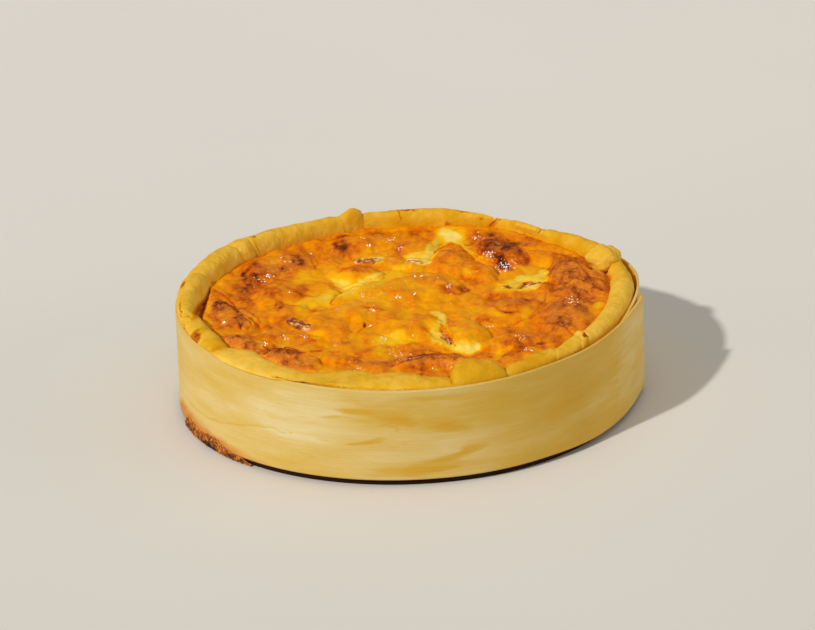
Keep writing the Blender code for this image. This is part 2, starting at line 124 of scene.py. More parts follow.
# Each length of rolled pastry: how square its section is, the depth of the joint at each end and
# the degrees over which the roll rounds down to it, then along it rows of angle, inner radius,
# gap to the strip, and height of the top
RIM = (
    ("wall_right", 0.8, (0.6, 1.4), (1, 0.9), (
        (24, 86.6, 1.2, 47), (34, 88, 1.6, 47.1), (42, 87.8, 1.8, 46.2), (49.4, 87.6, 2, 45))),
    ("wall_back_right", 0.8, (0.7, 0.9), (1.3, 1), (
        (49.4, 88, 1.8, 45.2), (57, 90, 1.5, 46.3), (65, 92.6, 1.4, 45.3))),
    ("wall_back", 0.8, (1, 1), (1, 1.6), (
        (65, 93.4, 1, 45.7), (72, 91.4, 1, 47.2), (80, 89.3, 1, 48.2), (93, 88.2, 1, 48.2),
        (103.1, 89, 1, 48))),
    ("lump_back", 0.9, (1.2, 1.8), (0.4, 1.6), (
        (103.1, 88.8, 0.6, 49.8), (106.2, 87.9, 0.2, 51.4), (110, 86.6, 0.6, 49))),
    ("roll_back_left", 0.95, (0.3, 1.4), (0.8, 1), (
        (110, 86.2, 0.8, 48.7), (116, 85.4, 0.7, 48.9), (125, 84.3, 0.4, 49.5), (133, 84.9, -0.3, 49.9),
        (142.8, 85, -0.8, 50.1))),
    ("fold_left", 0.95, (0.3, 0.8), (0.8, 1.2), (
        (142.8, 85.8, -0.9, 50.3), (145.5, 85, -1.2, 50.5), (148.3, 85.8, -1.3, 50.2))),
    ("roll_wrinkled", 0.95, (0.7, 1.6), (2.4, 2.4), (
        (148.3, 86.1, -1.3, 50.3), (155, 86.4, -1.5, 50.1), (161, 87, -1.4, 49.4), (168, 90, -1.2, 48.4))),
    ("roll_left", 0.95, (1, 3.2), (0.6, 0.8), (
        (168, 88, -1.2, 49), (173, 88, -1.2, 48.6), (180, 89.6, -1, 47.8), (186, 91.4, -1, 47.2),
        (192.5, 93, -1.1, 46.8))),
    ("roll_left_front", 0.9, (0.2, 0.7), (1.4, 2.2), (
        (192.5, 92.4, -1.1, 46.6), (196, 90.6, -1.3, 46.6), (201, 89.4, -1.4, 46.5),
        (208, 89.6, -1.5, 46.1), (215.4, 91.2, -1.6, 45.2))),
    ("lip_front", 0.7, (0.7, 1.2), (0.9, 1.6), (
        (215.4, 90.6, -1.6, 43.9), (218, 89.2, -1.8, 44.1), (222, 86.2, -2.2, 44.4),
        (229, 88.4, -2.2, 44.2),
        (236, 90.2, -2.1, 44.1), (243, 91.2, -1.3, 44.1), (248, 88.4, -0.6, 44.2), (254, 84, -0.2, 44.4),
        (260, 85.4, 0, 44.4), (266, 84, 0.2, 44.5), (270, 86, 0.3, 44.4), (273, 89.2, 0.3, 44.1),
        (279.2, 92, 0.4, 43.8))),
    ("knob_front", 0.9, (1.6, 1.4), (1.4, 2.6), (
        (279.2, 88.6, 0.3, 46.2), (281.5, 84.8, 0.2, 47.9), (285, 83.4, 0.2, 48.6),
        (288.5, 84.6, 0.4, 47.4), (292.4, 88.4, 0.8, 45.2))),
    ("roll_front_right", 0.95, (0.2, 1), (0.3, 0.8), (
        (292.4, 91.6, 1.6, 43.2), (296, 88.4, 1.5, 44), (303, 85.8, 1.4, 44.3), (309.2, 85.2, 1.4, 44.4))),
    ("roll_front_end", 0.95, (0.5, 0.8), (0.3, 0.6), (
        (309.2, 87, 1.2, 44), (319.4, 84.8, 0.6, 44.5))),
    ("knuckle", 1, (0.2, 0.5), (1, 0.8), (
        (319.4, 84.4, 0.4, 44.9), (320.8, 83.8, 0.3, 45.4), (322.2, 84.4, 0.3, 45.2))),
    ("roll_right", 0.95, (0.9, 1), (1.5, 3), (
        (322.2, 85.2, 0.5, 44.8), (330, 84.4, 0.4, 45), (342, 83.9, 0.3, 45.6), (355, 84.8, 0.3, 46.4),
        (363, 86, 0.6, 46.8), (368.5, 87.6, 1.4, 46.5))),
    ("wall_right_end", 0.8, (0.4, 1), (0.3, 1.2), (
        (368.5, 89.6, 1.6, 44.8), (384, 86.6, 1.4, 46.8))),
)

# How far the joints between rolls slant: angle, and degrees from the outer foot to the inner one
SLANTS = (
    (0, 0), (8.5, 2.7), (24, 2), (49.4, -1), (65, -1), (103, 0), (110, 1.5), (142.8, 1.4),
    (148.3, 0), (168, 1.6), (192.5, -2.5), (215.4, -1.5), (279.2, 0), (292.4, 0), (309.2, -3.6),
    (320.8, -5.5), (340, 0), (360, 0),
)

# Round lumps of dough pressed on the rim: angle, radius and height of the middle, then half
# sizes across the rim, along it and upwards
LUMPS = (
    (17.4, 88.2, 45.6, 6.4, 7.4, 6),
    (20.4, 94.4, 44.4, 4.6, 7.6, 4.3),
)

# Custard
CUSTARD_BASE = 40.7
CUSTARD_EDGE_FADE = 2.4
EDGE_LOW = 0.55
EDGE_REACH = 15
EDGE_BLEND = 4
EDGE_SLIPS = (-6, -4.5, -3, -1.5, 0, 1.5, 3, 4.5, 6)
CREASE_SHARPNESS = 5
LOBE_FULLNESS = 0.75
CUSTARD_CELLS = 300
CUSTARD_TUCK = 1.6
EDGE_HOLD = 24

# Beads of fat: their sides, lean from upright, way they lean, how much both vary, and size. One
# bead lies on the point of the skin that shows nearest to its place, or a little in front of it
BEAD_SEED = 5
BEAD_RINGS = 4
BEAD_SIDES = 8
BEAD_LEAN = 59
BEAD_WAY = 249
BEAD_SPREAD = 4
BEAD_FLATNESS = 0.14
BEAD_RAISE = 0.25
BEAD_SIZE = 0.5
BEAD_MORE = 2
BEAD_SCATTER = 0.8
BEAD_SCATTER_UP = 0.4
BEAD_NEARER = 0.05
BEAD_REACH = 91

# Puffed lobes of custard: centre x and y, half length, half width, turn, height
LOBES = (
    ("centre", -4, 6, 31, 17, 24, 4.2),
    ("centre_front", -22, -18, 22, 15, 30, 3.4),
    ("bacon_side", -36, -30, 15, 9, -52, 3.2),
    ("peak", 19, 38, 21, 9.5, 92, 4.6),
    ("peak_right", 29, 29, 15, 9, -58, 3.6),
    ("back_orange", -23, 29, 13, 8, -8, 3.2),
    ("front_gold", 23, -43, 17, 9.5, 100, 4.2),
    ("front_middle", 0, -34, 15, 13, 10, 3.4),
    ("left", -77, -14, 21, 9, -60, 3.8),
    ("left_front", -69, -48, 14, 8, -38, 3.8),
    ("front_left", -49, -67, 17, 8.5, -42, 4.2),
    ("front_left_small", -30, -66, 10, 7, -25, 2.6),
    ("front_ridge", 9, -75, 20, 7.5, 2, 3.8),
    ("right_brown", 73, 14, 25, 13.5, 98, 4.6),
    ("right_front", 65, -30, 23, 13, 78, 4.2),
    ("right_middle", 43, -22, 18, 13, 35, 3.4),
    ("front_red", 42, -54, 16, 9, 22, 3.4),
    ("back_left", -60, 43, 22, 13, 48, 3.2),
    ("left_middle", -57, 8, 15, 11, 60, 2.8),
    ("left_inner", -52, -12, 14, 10, -30, 2.4),
    ("back", -20, 68, 19, 11, 12, 2.8),
    ("back_middle", 3, 60, 9, 16, 10, 2.4),
    ("burnt_back", 41, 53, 20, 10.5, 112, 4),
    ("back_right", 62, 41, 15, 8, -42, 2.4),
    ("bacon_back", -17, 42, 15, 8, 12, 2),
    ("bacon_middle", 2, 39, 10, 7, 0, 2),
    ("bacon_right", 47, 5, 17, 8, 14, 1.8),
    ("bacon_front", 14, -50, 12, 9, -70, 2.2),
)

# How far the custard rises towards the rim: angle, millimetres
EDGE_RISE = (
    (0, 1.2), (30, 1), (50, 1.4), (80, 0.5), (95, 0.6), (110, 1.4), (140, 2.2), (170, 2.2),
    (184, 1.2), (200, 1.8), (215, 1.8), (240, 1.6), (285, 1.4), (320, 1.6), (360, 1.2),
)

# Low places where pale custard shows: centre x and y, half length, half width, turn, depth
VALLEYS = (
    ("back_pale", 20, 66, 13, 9, 100, 1.6),
    ("back_streak", 32, 40, 18, 3.2, -58, 1.8),
    ("left_pale", -27, 15, 12, 6, -55, 1.5),
    ("right_pale", 49, 10, 12, 8, 15, 0.6),
    ("front_slit", 13, -49, 18, 3.4, -70, 1.5),
    ("left_gold", -40, -8, 9, 6, 60, 1),
    ("left_crack", -69, -19, 17, 2.2, -62, 1.8),
    ("front_gold", -10, -58, 12, 7, 40, 1),
    ("lump_bed", 81.5, 26, 10, 6, 107, 3.6),
)

# Marks are placed where they show in the photograph, in pixels of its 815 by 630 frame
PHOTO_WIDTH = 815
PHOTO_HEIGHT = 630

# Patches of colour on the custard: middle, half length, half width and turn on the screen, then how far it
# is baked, from 0 for cream to 1 for burnt, how strongly the patch covers what is below it, and how sharp
# its edge is. A few patches are painted shade and painted light, as marked below
BAKED_AND_PAINTED_LIGHT = (
    ("back_left_wide", 292, 258, 60, 13, 14, 0.64, 0.8, 1),
    ("left_wide", 262, 284, 36, 22, 30, 0.68, 0.85, 1),
    ("left_dark_wide", 240, 292, 20, 12, 60, 0.83, 0.9, 1),
    ("left_low_wide", 276, 318, 22, 6, 0, 0.72, 0.8, 1),
    ("left_lobe_wide", 230, 307, 26, 14, -30, 0.76, 0.85, 1),
    ("front_left_wide", 296, 336, 56, 14, -6, 0.58, 0.8, 1),
    ("back_wide", 386, 245, 44, 14, 4, 0.62, 0.8, 1),
    ("back_far_wide", 405, 232, 32, 5, 3, 0.7, 0.85, 1.2),
    ("back_orange_spot", 396, 257, 6, 3, 0, 0.56, 0.8, 1.2),
    ("back_right_wide", 515, 247, 54, 20, -22, 0.62, 0.8, 1),
    ("middle_wide", 430, 290, 74, 26, 0, 0.45, 0.7, 1),
    ("middle_front_wide", 440, 318, 90, 22, 0, 0.5, 0.6, 1),
    ("right_wide", 572, 296, 34, 34, -40, 0.72, 0.9, 1.2),
    ("right_front_wide", 540, 332, 46, 18, 14, 0.7, 0.85, 1.2),
    ("front_wide", 390, 358, 90, 15, -2, 0.62, 0.8, 1.2),
    ("front_right_wide", 506, 348, 28, 12, 12, 0.68, 0.85, 1.2),
    ("gold_left", 318, 285, 22, 12, -10, 0.36, 0.9, 1.2),
    ("yellow_left", 316, 303, 20, 7, 8, 0.2, 0.95, 1.6),
    ("yellow_left_deep", 324, 297, 9, 5, 30, 0.14, 0.9, 1.4),
    ("triangle_gold", 345, 283, 22, 8, -30, 0.28, 0.9, 1.4),
    ("triangle_cream", 345, 285, 15, 4.2, -38, 0.1, 1, 2.2),
    ("puff_flank", 372, 281, 44, 7, 24, 0.21, 0.95, 1.8),
    # A painted highlight along the lit flank of the centre puff
    ("puff_flank_light", 360, 284, 26, 2.4, 26, 0.06, 0.9, 2),
    ("puff_top", 402, 290, 34, 7, 4, 0.42, 0.8, 1.2),
    ("puff_orange", 366, 293, 10, 4, 10, 0.6, 0.7, 1.2),
    ("puff_orange_b", 395, 292, 10, 5, 0, 0.58, 0.7, 1.2),
    ("puff_orange_c", 428, 275, 22, 6, 8, 0.56, 0.8, 1.2),
    ("gold_middle", 352, 312, 22, 6, 0, 0.4, 0.7, 1.2),
    ("gold_middle_b", 410, 305, 28, 8, 0, 0.42, 0.7, 1.2),
    ("gold_middle_c", 462, 311, 26, 9, -8, 0.4, 0.8, 1.2),
    ("red_spot", 303, 290, 9, 6, 0, 0.75, 0.85, 1.2),
    ("orange_left", 286, 297, 14, 5, 0, 0.64, 0.7, 1.2),
    ("purple", 244, 279, 8, 3.6, -74, 0.9, 0.95, 2.2),
    ("purple_low", 248, 287, 4.6, 2.4, -20, 0.86, 0.9, 1.8),
    ("hump_edge", 262, 275, 9, 3, -40, 0.58, 0.8, 1.4),
    ("left_bright", 276, 291, 10, 5, 0, 0.57, 0.85, 1.2),
    ("left_brown", 298, 261.5, 7, 5, -30, 0.81, 0.9, 1.4),
    ("left_brown_b", 280, 270.5, 6, 3, 20, 0.76, 0.8, 1.4),
    ("left_brown_c", 266, 272, 6, 3, 20, 0.68, 0.8, 1.2),
    ("left_brown_d", 262, 284, 8, 4, -30, 0.8, 0.85, 1.2),
    ("back_brown", 343, 244.5, 10, 9, 30, 0.8, 0.9, 1.2),
    ("back_brown_core", 336, 246, 3, 2, -20, 0.89, 0.9, 1.6),
    ("back_brown_core_b", 346, 248, 3, 1.6, 30, 0.88, 0.9, 1.6),
    ("back_brown_light", 331.5, 251, 5, 1.4, 80, 0.45, 0.8, 1.8),
    ("back_red", 397.5, 247, 3.6, 1.8, 0, 0.87, 0.9, 1.8),
    ("back_red_b", 395, 257, 9, 4, 0, 0.6, 0.8, 1.2),
    ("back_gold", 375, 252, 18, 4, 10, 0.42, 0.7, 1.2),
    ("bacon_cream", 374, 259.8, 15, 3.4, 6, 0.24, 0.95, 1.6),
    ("bacon_cream_end", 379, 259, 5, 3, 0, 0.04, 1, 1.8),
    ("bacon_cream_b", 417, 256, 12, 6, 10, 0.16, 0.95, 1.6),
    ("back_puff_gold", 340, 268, 14, 4, 10, 0.42, 0.7, 1.2),
    ("back_puff", 364, 268.5, 26, 4.4, 3, 0.68, 0.9, 1.6),
    ("back_puff_core", 355, 269, 10, 2, 0, 0.72, 0.8, 1.4),
    ("back_puff_foot", 348, 276, 16, 3, 0, 0.36, 0.8, 1.4),
    ("back_valley", 452, 236, 17, 8, -14, 0.05, 1, 2),
    ("back_valley_left", 431, 250, 13, 5, 58, 0.1, 1, 1.8),
    ("back_valley_gold", 437, 239, 8, 5, 60, 0.2, 0.7, 1.4),
    ("back_valley_foot", 424, 261.5, 9, 3, 14, 0.06, 1, 2),
    ("back_streak", 468, 247.5, 14, 3.6, -38, 0.1, 1, 2.2),
    ("back_streak_end", 485, 258.2, 11, 1.1, -28, 0.45, 0.85, 2),
    ("peak_lobe", 451, 258, 17, 9, 0, 0.61, 0.9, 1.6),
    ("peak_gold", 466, 259, 8, 4.6, 0, 0.48, 0.85, 1.4),
    ("peak_tip", 453, 251.8, 8, 2.2, 0, 0.78, 0.9, 1.6),
    ("peak_right", 480, 269, 17, 7, -20, 0.62, 0.9, 1.6),
    ("peak_ring", 455.5, 263, 4, 4, 0, 0.48, 0.6, 1.6),
    ("peak_pit", 469, 270.5, 6, 2.6, -20, 0.3, 0.8, 1.6),
    ("peak_foot", 436, 268, 12, 5, 0, 0.56, 0.7, 1.2),
    ("middle_smear", 452, 290.5, 17, 4.2, -6, 0.76, 0.9, 1.4),
    ("middle_side", 470, 281, 12, 4, -20, 0.69, 0.8, 1.2),
    ("middle_spot", 463.5, 288, 6, 3.8, -30, 0.88, 0.95, 1.6),
    ("burnt_wide", 495, 250.5, 31, 14, -24, 0.77, 1, 1.8),
    ("burnt_top", 498, 247, 24, 10, -22, 0.85, 0.95, 1.6),
    ("burnt_core", 499, 250, 14, 10, -20, 0.9, 0.95, 1.4),
    ("burnt_left", 486, 249, 9, 4, -20, 0.88, 0.9, 1.2),
    ("burnt_right", 517, 242.5, 3.6, 2.8, 0, 0.9, 0.9, 1.6),
    ("burnt_far", 525, 239, 18, 7, -24, 0.75, 0.85, 1.2),
    ("back_right_top", 531, 231, 15, 3.6, -20, 0.62, 0.85, 1.2),
    ("burnt_tail", 503, 265, 9, 5, -20, 0.9, 0.95, 1.4),
    ("burnt_side", 518, 257, 14, 9, -20, 0.75, 0.85, 1.2),
    ("right_gold", 541, 258, 14, 11, -30, 0.56, 0.9, 1.4),
    ("right_yellow", 528, 270, 18, 5.6, 10, 0.36, 0.9, 1.6),
    ("right_cream", 523, 284, 26, 7, 13, 0.14, 1, 2),
    ("right_cream_light", 541, 274, 7, 4, 40, 0.1, 0.95, 1.8),
    ("right_cream_ridge", 524, 278, 9, 3, 12, 0.08, 0.9, 1.8),
    ("right_cream_foot", 522, 289.5, 16, 2.4, 10, 0.04, 1, 2),
    # Painted shade in the slit, over brown custard
    ("right_slit", 526, 284, 9, 1.8, 18, 0.95, 0.9, 2),
    ("right_orange", 514, 300, 34, 11, 0, 0.69, 0.9, 1.4),
    ("right_front_orange", 502, 319, 20, 6, 0, 0.71, 0.85, 1.2),
    ("right_front_gold", 481, 315, 8, 4, 0, 0.5, 0.8, 1.2),
    ("right_fold", 509, 311, 11, 2.6, -6, 0.84, 0.9, 1.4),
    ("right_fold_b", 489, 318, 12, 3, 10, 0.72, 0.7, 1.2),
    ("right_fold_c", 497, 303, 10, 3, 20, 0.72, 0.7, 1.2),
    ("right_side_brown", 560, 270, 12, 14, -20, 0.79, 0.85, 1.2),
    ("right_crest", 578, 265, 20, 5, -38, 0.76, 0.9, 1.4),
    ("right_crest_dark", 591, 279, 14, 3, -36, 0.82, 0.9, 1.4),
    ("right_edge_brown", 606, 287, 5, 6, 0, 0.84, 0.8, 1.2),
    ("right_gloss", 570, 296, 14, 7, 10, 0.73, 0.9, 1.4),
    ("right_gloss_b", 590, 296, 9, 5, -30, 0.6, 0.8, 1.4),
    ("right_yellow_dot", 597.5, 306, 3.6, 2.8, 0, 0.24, 0.95, 1.8),
    ("right_low_orange", 584, 316, 12, 6, 40, 0.64, 0.8, 1.2),
    ("right_mauve", 556, 322.5, 13, 3.2, -6, 0.76, 0.9, 1.6),
    ("right_dome", 532, 332, 11, 7, 0, 0.67, 0.9, 1.6),
    ("right_red_dot", 540, 343, 4.6, 2, 0, 0.92, 0.95, 1.6),
    ("front_right_red", 514, 357, 14, 5, 6, 0.69, 0.9, 1.4),
    ("front_right_gold", 503, 351, 10, 3.6, 14, 0.42, 0.9, 1.6),
    ("front_right_edge", 531, 352, 11, 4, 16, 0.46, 0.85, 1.2),
    ("front_right_cream", 498, 356, 4.6, 3.6, 60, 0.3, 0.9, 1.8),
    ("slit_cream", 441, 318, 10, 4.6, -46, 0.08, 1, 2),
    ("slit_left", 437, 334, 12, 6, -62, 0.14, 1, 1.8),
    ("slit_low", 455, 345.5, 17, 5.4, -30, 0.12, 1, 2),
    ("slit_foot", 470, 347, 14, 6.4, 6, 0.06, 1, 2.2),
    ("front_puff", 464, 333, 15, 11, -20, 0.3, 0.95, 1.8),
    ("front_puff_top", 463, 324, 13, 4.4, 0, 0.48, 0.8, 1.4),
    ("front_puff_side", 482, 340, 7, 4, -60, 0.36, 0.8, 1.4),
    ("front_yellow", 391, 339, 20, 6, 14, 0.2, 0.95, 1.6),
    ("front_yellow_b", 378, 353, 9, 4.6, 0, 0.2, 0.9, 1.6),
    ("front_yellow_c", 429, 323, 10, 4.4, 10, 0.3, 0.9, 1.6),
    ("front_yellow_d", 407, 340, 9, 4, 10, 0.22, 0.9, 1.6),
    ("front_orange", 408, 350, 14, 4.4, 4, 0.6, 0.9, 1.4),
    ("front_orange_b", 428, 349, 13, 4, -14, 0.62, 0.9, 1.4),
    ("front_brown_bit", 415, 353, 5, 2.6, 10, 0.78, 0.8, 1.4),
    ("olive", 318, 335, 9, 3.4, 0, 0.36, 0.8, 1.4),
    ("bacon_end", 313, 328, 10, 4, 10, 0.7, 0.85, 1.2),
    ("front_gold_left", 300, 347, 22, 4, -14, 0.38, 0.7, 1.2),
    ("front_ridge", 440, 357, 40, 3.4, 2, 0.83, 0.95, 1.6),
    ("front_ridge_left", 396, 362, 14, 3, 20, 0.78, 0.9, 1.6),
    ("front_low", 430, 366, 26, 6, 0, 0.78, 0.9, 1.4),
    ("front_low_gold", 436, 372, 8, 4, 0, 0.56, 0.7, 1.2),
    ("front_edge_yellow", 322, 368, 18, 4, 4, 0.38, 0.95, 1.6),
    ("front_edge_orange", 350, 358, 40, 9, 0, 0.66, 0.7, 1),
    ("lobe_a", 240, 343, 19, 7, -20, 0.66, 0.95, 1.8),
    ("lobe_a_top", 233, 337, 12, 3, -6, 0.76, 0.9, 1.4),
    ("lobe_a_dark", 250, 346.5, 11, 5, -24, 0.88, 0.9, 1.4),
    ("lobe_b", 288, 357.5, 27, 7.8, -20, 0.71, 1, 2.2),
    ("lobe_b_top", 284, 351.5, 17, 2.6, -8, 0.85, 0.9, 1.6),
    ("lobe_gap", 276, 345, 8, 3, 0, 0.56, 0.8, 1.4),
    ("lobe_b_spot", 262, 352, 7, 3, 0, 0.84, 0.9, 1.6),
    ("lobe_b_low", 306, 364, 13, 4, -20, 0.68, 0.8, 1.4),
    ("lobe_c", 322, 356, 14, 4.6, -20, 0.56, 0.9, 1.6),
    ("lobe_c_top", 315, 351.5, 6, 1.6, 0, 0.8, 0.8, 1.4),
    ("left_lobe_red", 222, 308, 15, 7, -24, 0.79, 0.85, 1.2),
    ("left_lobe_low", 222, 322, 14, 5, -20, 0.77, 0.8, 1.2),
    # The next two are partly pale custard, partly painted light that offsets the rim's shadow on this edge
    ("left_lobe_yellow", 205, 312, 5, 10, 10, 0.4, 0.8, 1.2),
    ("left_lobe_dry", 208, 297, 10, 5, -40, 0.5, 0.85, 1.2),
    ("left_lobe_light", 247, 304, 6, 5, 0, 0.6, 0.85, 1.4),
    ("left_crack_brown", 242, 323, 7, 4, 60, 0.79, 0.9, 1.4),
    ("curl", 279, 304, 6, 4, 40, 0.72, 0.8, 1.4),
    ("curl_b", 375, 308.5, 9, 3, 0, 0.66, 0.8, 1.4),
    ("left_red_low", 264, 327, 10, 4, 0, 0.72, 0.7, 1.2),
    # Two small holes, painted dark brown: painted shade in the holes
    ("shaded_hole", 331.5, 302, 3.4, 1.6, 50, 0.98, 1, 2.4),
    ("hole", 366, 325.5, 2, 1.5, 40, 0.97, 1, 2.2),
)

# Cracks, folds and dark edges, then light edges and threads: half width in pixels, tone, route, and depth
# in millimetres. Some dark lines are painted shade in gaps, slits and holes, and one light edge is a
# painted highlight
LINES = (
    ("left_crack", 1.3, 0.95, ((224, 300.5), (237, 309.5), (246, 318.5), (252, 324.5), (247, 330)), 0.8),
    ("left_crack_upper", 1.1, 0.86, ((214, 289), (227, 297), (233, 303.5), (245, 315)), 0.5),
    ("left_crack_end", 1.2, 0.9, ((238, 319), (242, 325), (241, 330)), 0.6),
    # Dark lines in the gaps between the custard and the rim: partly burnt custard, partly painted shade in
    # the gaps, over grooves
    ("left_gap", 3.6, 0.96, ((209, 290), (204, 300), (200, 311), (201, 320)), 2.8),
    ("left_gap_low", 1.3, 0.86, ((199, 320), (208, 328), (217, 337)), 1.2),
    ("lip_gap", 2, 0.95, ((216, 336), (220.5, 342), (221.5, 350)), 1.8),
    ("thin_crack", 1, 0.86, ((312, 261.7), (315.5, 265), (315.5, 270)), 0.4),
    ("thin_crack_b", 0.8, 0.82, ((318.5, 262), (315.5, 265)), 0.3),
    ("hole_tail", 0.8, 0.8, ((365, 327.5), (360, 331), (355.5, 334)), 0.2),
    ("lobe_b_edge", 1.3, 0.95, ((264, 354.5), (273, 349.5), (287, 347.5), (298, 350.5)), -0.2),
    ("lobe_a_edge", 1.1, 0.84, ((218, 336.5), (233, 334.5), (247, 338), (259, 343.5),
        (266, 349.5)), -0.2),
    ("curl_line", 0.9, 0.86, ((275, 308), (275.5, 303.5), (280, 301.5), (284.5, 303.5), (280, 308)), 0.4),
    ("streak_line", 0.7, 0.76, ((256, 311), (268, 309.5), (280, 310)), 0.2),
    ("curl_line_b", 0.8, 0.84, ((364, 309), (371, 306.5), (379, 308.5), (388, 309.5)), 0.4),
    ("right_crest_a", 1.6, 0.86, ((556, 255), (573, 260.5), (582, 269), (590, 277.5), (605, 282)), -0.4),
    ("right_crest_b", 1.3, 0.88, ((566, 283), (575, 277), (586, 280), (600, 289)), 0.5),
    ("right_crest_c", 1.2, 0.86, ((560, 291), (571, 285), (583, 288), (594, 296)), 0.4),
    ("right_side", 1.5, 0.76, ((558, 254), (551, 266), (549, 283), (543, 304), (534, 312)), 0.3),
    ("right_fold", 1.2, 0.9, ((497, 308), (506, 310.5), (519, 310)), 0.6),
    ("right_fold_low", 1.2, 0.76, ((503, 330), (515, 323), (530, 318), (543, 309)), 0.3),
    ("right_fold_end", 1.2, 0.86, ((541, 321.5), (553, 324), (566, 326.5), (573, 332)), 0.5),
    ("peak_edge", 1, 0.82, ((436, 250.5), (444, 246.5), (451, 244.5), (460, 248), (466, 253)), 0),
    ("ridge_line", 1.4, 0.92, ((396, 367), (405, 361.5), (418, 358), (433, 354.5), (446, 355)), -0.3),
    ("ridge_line_b", 1.1, 0.86, ((430, 351), (441, 352.5), (450, 352)), 0.3),
    ("slit_line", 1.7, 0.6, ((441.5, 323), (442, 331), (450, 337.5), (456, 345)), 1.8),
    # Painted shade in two holes of the slit, over grooves
    ("slit_hole", 1.5, 0.97, ((448.5, 335), (450.5, 337.5), (452.5, 339)), 1.6),
    ("slit_hole_b", 1.2, 0.93, ((440.5, 328), (442, 331.5), (445, 333.5)), 1),
    # Painted shade in the right slit, over a groove
    ("right_slit_line", 1.5, 0.93, ((519, 286.5), (526, 284), (537, 280.5)), 1.6),
    ("puff_fold", 1.3, 0.5, ((332, 300), (338, 294), (345, 290.5), (352, 288)), 0.8),
    ("puff_fold_b", 1.2, 0.55, ((352, 288), (362, 286), (370, 280), (380, 275.5), (396, 270.5)), 0.6),
    ("cream_thread", 0.9, 0, ((316.5, 310.6), (320, 310), (324, 309.6)), -0.2),
    ("olive_thread", 0.7, 0.12, ((311, 338), (316, 339.5), (321, 340)), -0.2),
    # A painted highlight along the top edge of the centre puff's lit flank
    ("puff_edge", 1.1, 0.06, ((334.5, 301), (340, 295), (346, 291.5), (361, 287), (373, 278.5),
        (394, 272), (411, 266)), -0.2),
    ("valley_edge", 1, 0.02, ((430, 257), (434, 251), (441, 245.5), (449, 242)), -0.1),
    ("streak_edge", 0.8, 0.06, ((463, 247), (474, 252.5), (486, 258.5), (494, 263)), -0.1),
    ("slit_edge", 1, 0.06, ((446, 321), (447.5, 330), (454, 337)), -0.2),
    ("right_edge", 1, 0.06, ((508, 290.5), (522, 289.5), (536, 285.5), (547, 283)), -0.2),
)

# Clusters of small glossy beads of fat on the skin: middle, spread in pixels, how many, and size. The beads
# are painted almost white, a painted highlight on each
GLINTS = (
    ("burnt_tail", 505.5, 267, 6.5, 26, 0.55),
    ("burnt_left", 489, 254, 5, 10, 0.62),
    ("burnt_rim", 477.5, 237, 4, 7, 0.62),
    ("burnt_side", 513, 262, 7, 5, 0.5),
    ("back_a", 370, 245.2, 1.2, 2, 0.95),
    ("back_b", 390, 239.9, 3.6, 4, 0.72),
    ("back_c", 399.5, 248.3, 2.6, 4, 0.66),
    ("back_d", 362.8, 238.5, 1.5, 1, 0.6),
    ("back_e", 411.5, 257, 1.6, 2, 0.66),
    ("left_a", 269.5, 275.8, 3, 4, 0.7),
    ("left_b", 257.5, 280, 4.6, 4, 0.45),
    ("left_c", 281.8, 257.3, 1.2, 1, 0.6),
    ("left_d", 290, 262, 3.6, 2, 0.55),
    ("left_e", 313, 255.5, 1.6, 2, 0.6),
    ("left_f", 289, 292, 1.6, 2, 0.55),
    ("middle_a", 397.6, 296.5, 1.4, 2, 0.9),
    ("middle_b", 418.5, 276, 1.8, 2, 0.66),
    ("middle_c", 414.5, 294.5, 1.2, 1, 0.66),
    ("middle_d", 449, 286, 3.6, 4, 0.55),
    ("middle_e", 369.5, 325.5, 1.2, 1, 0.8),
    ("middle_f", 336, 309, 2, 2, 0.5),
    ("middle_g", 363, 294, 8, 5, 0.45),
    ("wrinkles", 374, 309, 7, 5, 0.42),
    ("right_a", 571, 300, 6, 7, 0.6),
    ("right_b", 488, 327, 4, 3, 0.55),
    ("front_a", 398, 354.5, 9, 9, 0.55),
    ("front_b", 304, 337, 3, 3, 0.6),
    ("front_c", 284.5, 337.5, 2.5, 3, 0.55),
    ("front_d", 265, 344.5, 2, 3, 0.6),
    ("front_e", 335, 344, 6, 4, 0.48),
    ("front_f", 382, 340, 8, 8, 0.45),
    ("front_g", 355, 370, 9, 5, 0.5),
    ("front_h", 480.5, 359.8, 1.4, 1, 0.7),
    ("front_i", 528, 350, 3.4, 5, 0.66),
    ("front_j", 520, 338, 5, 5, 0.55),
    ("front_k", 446, 365, 6, 3, 0.5),
    ("edge_left", 224, 323, 2, 3, 0.6),
    ("puff", 462, 339, 6, 3, 0.5),
    ("dusted", 420, 300, 90, 60, 0.36),
    ("dusted_back", 400, 262, 80, 26, 0.36),
)

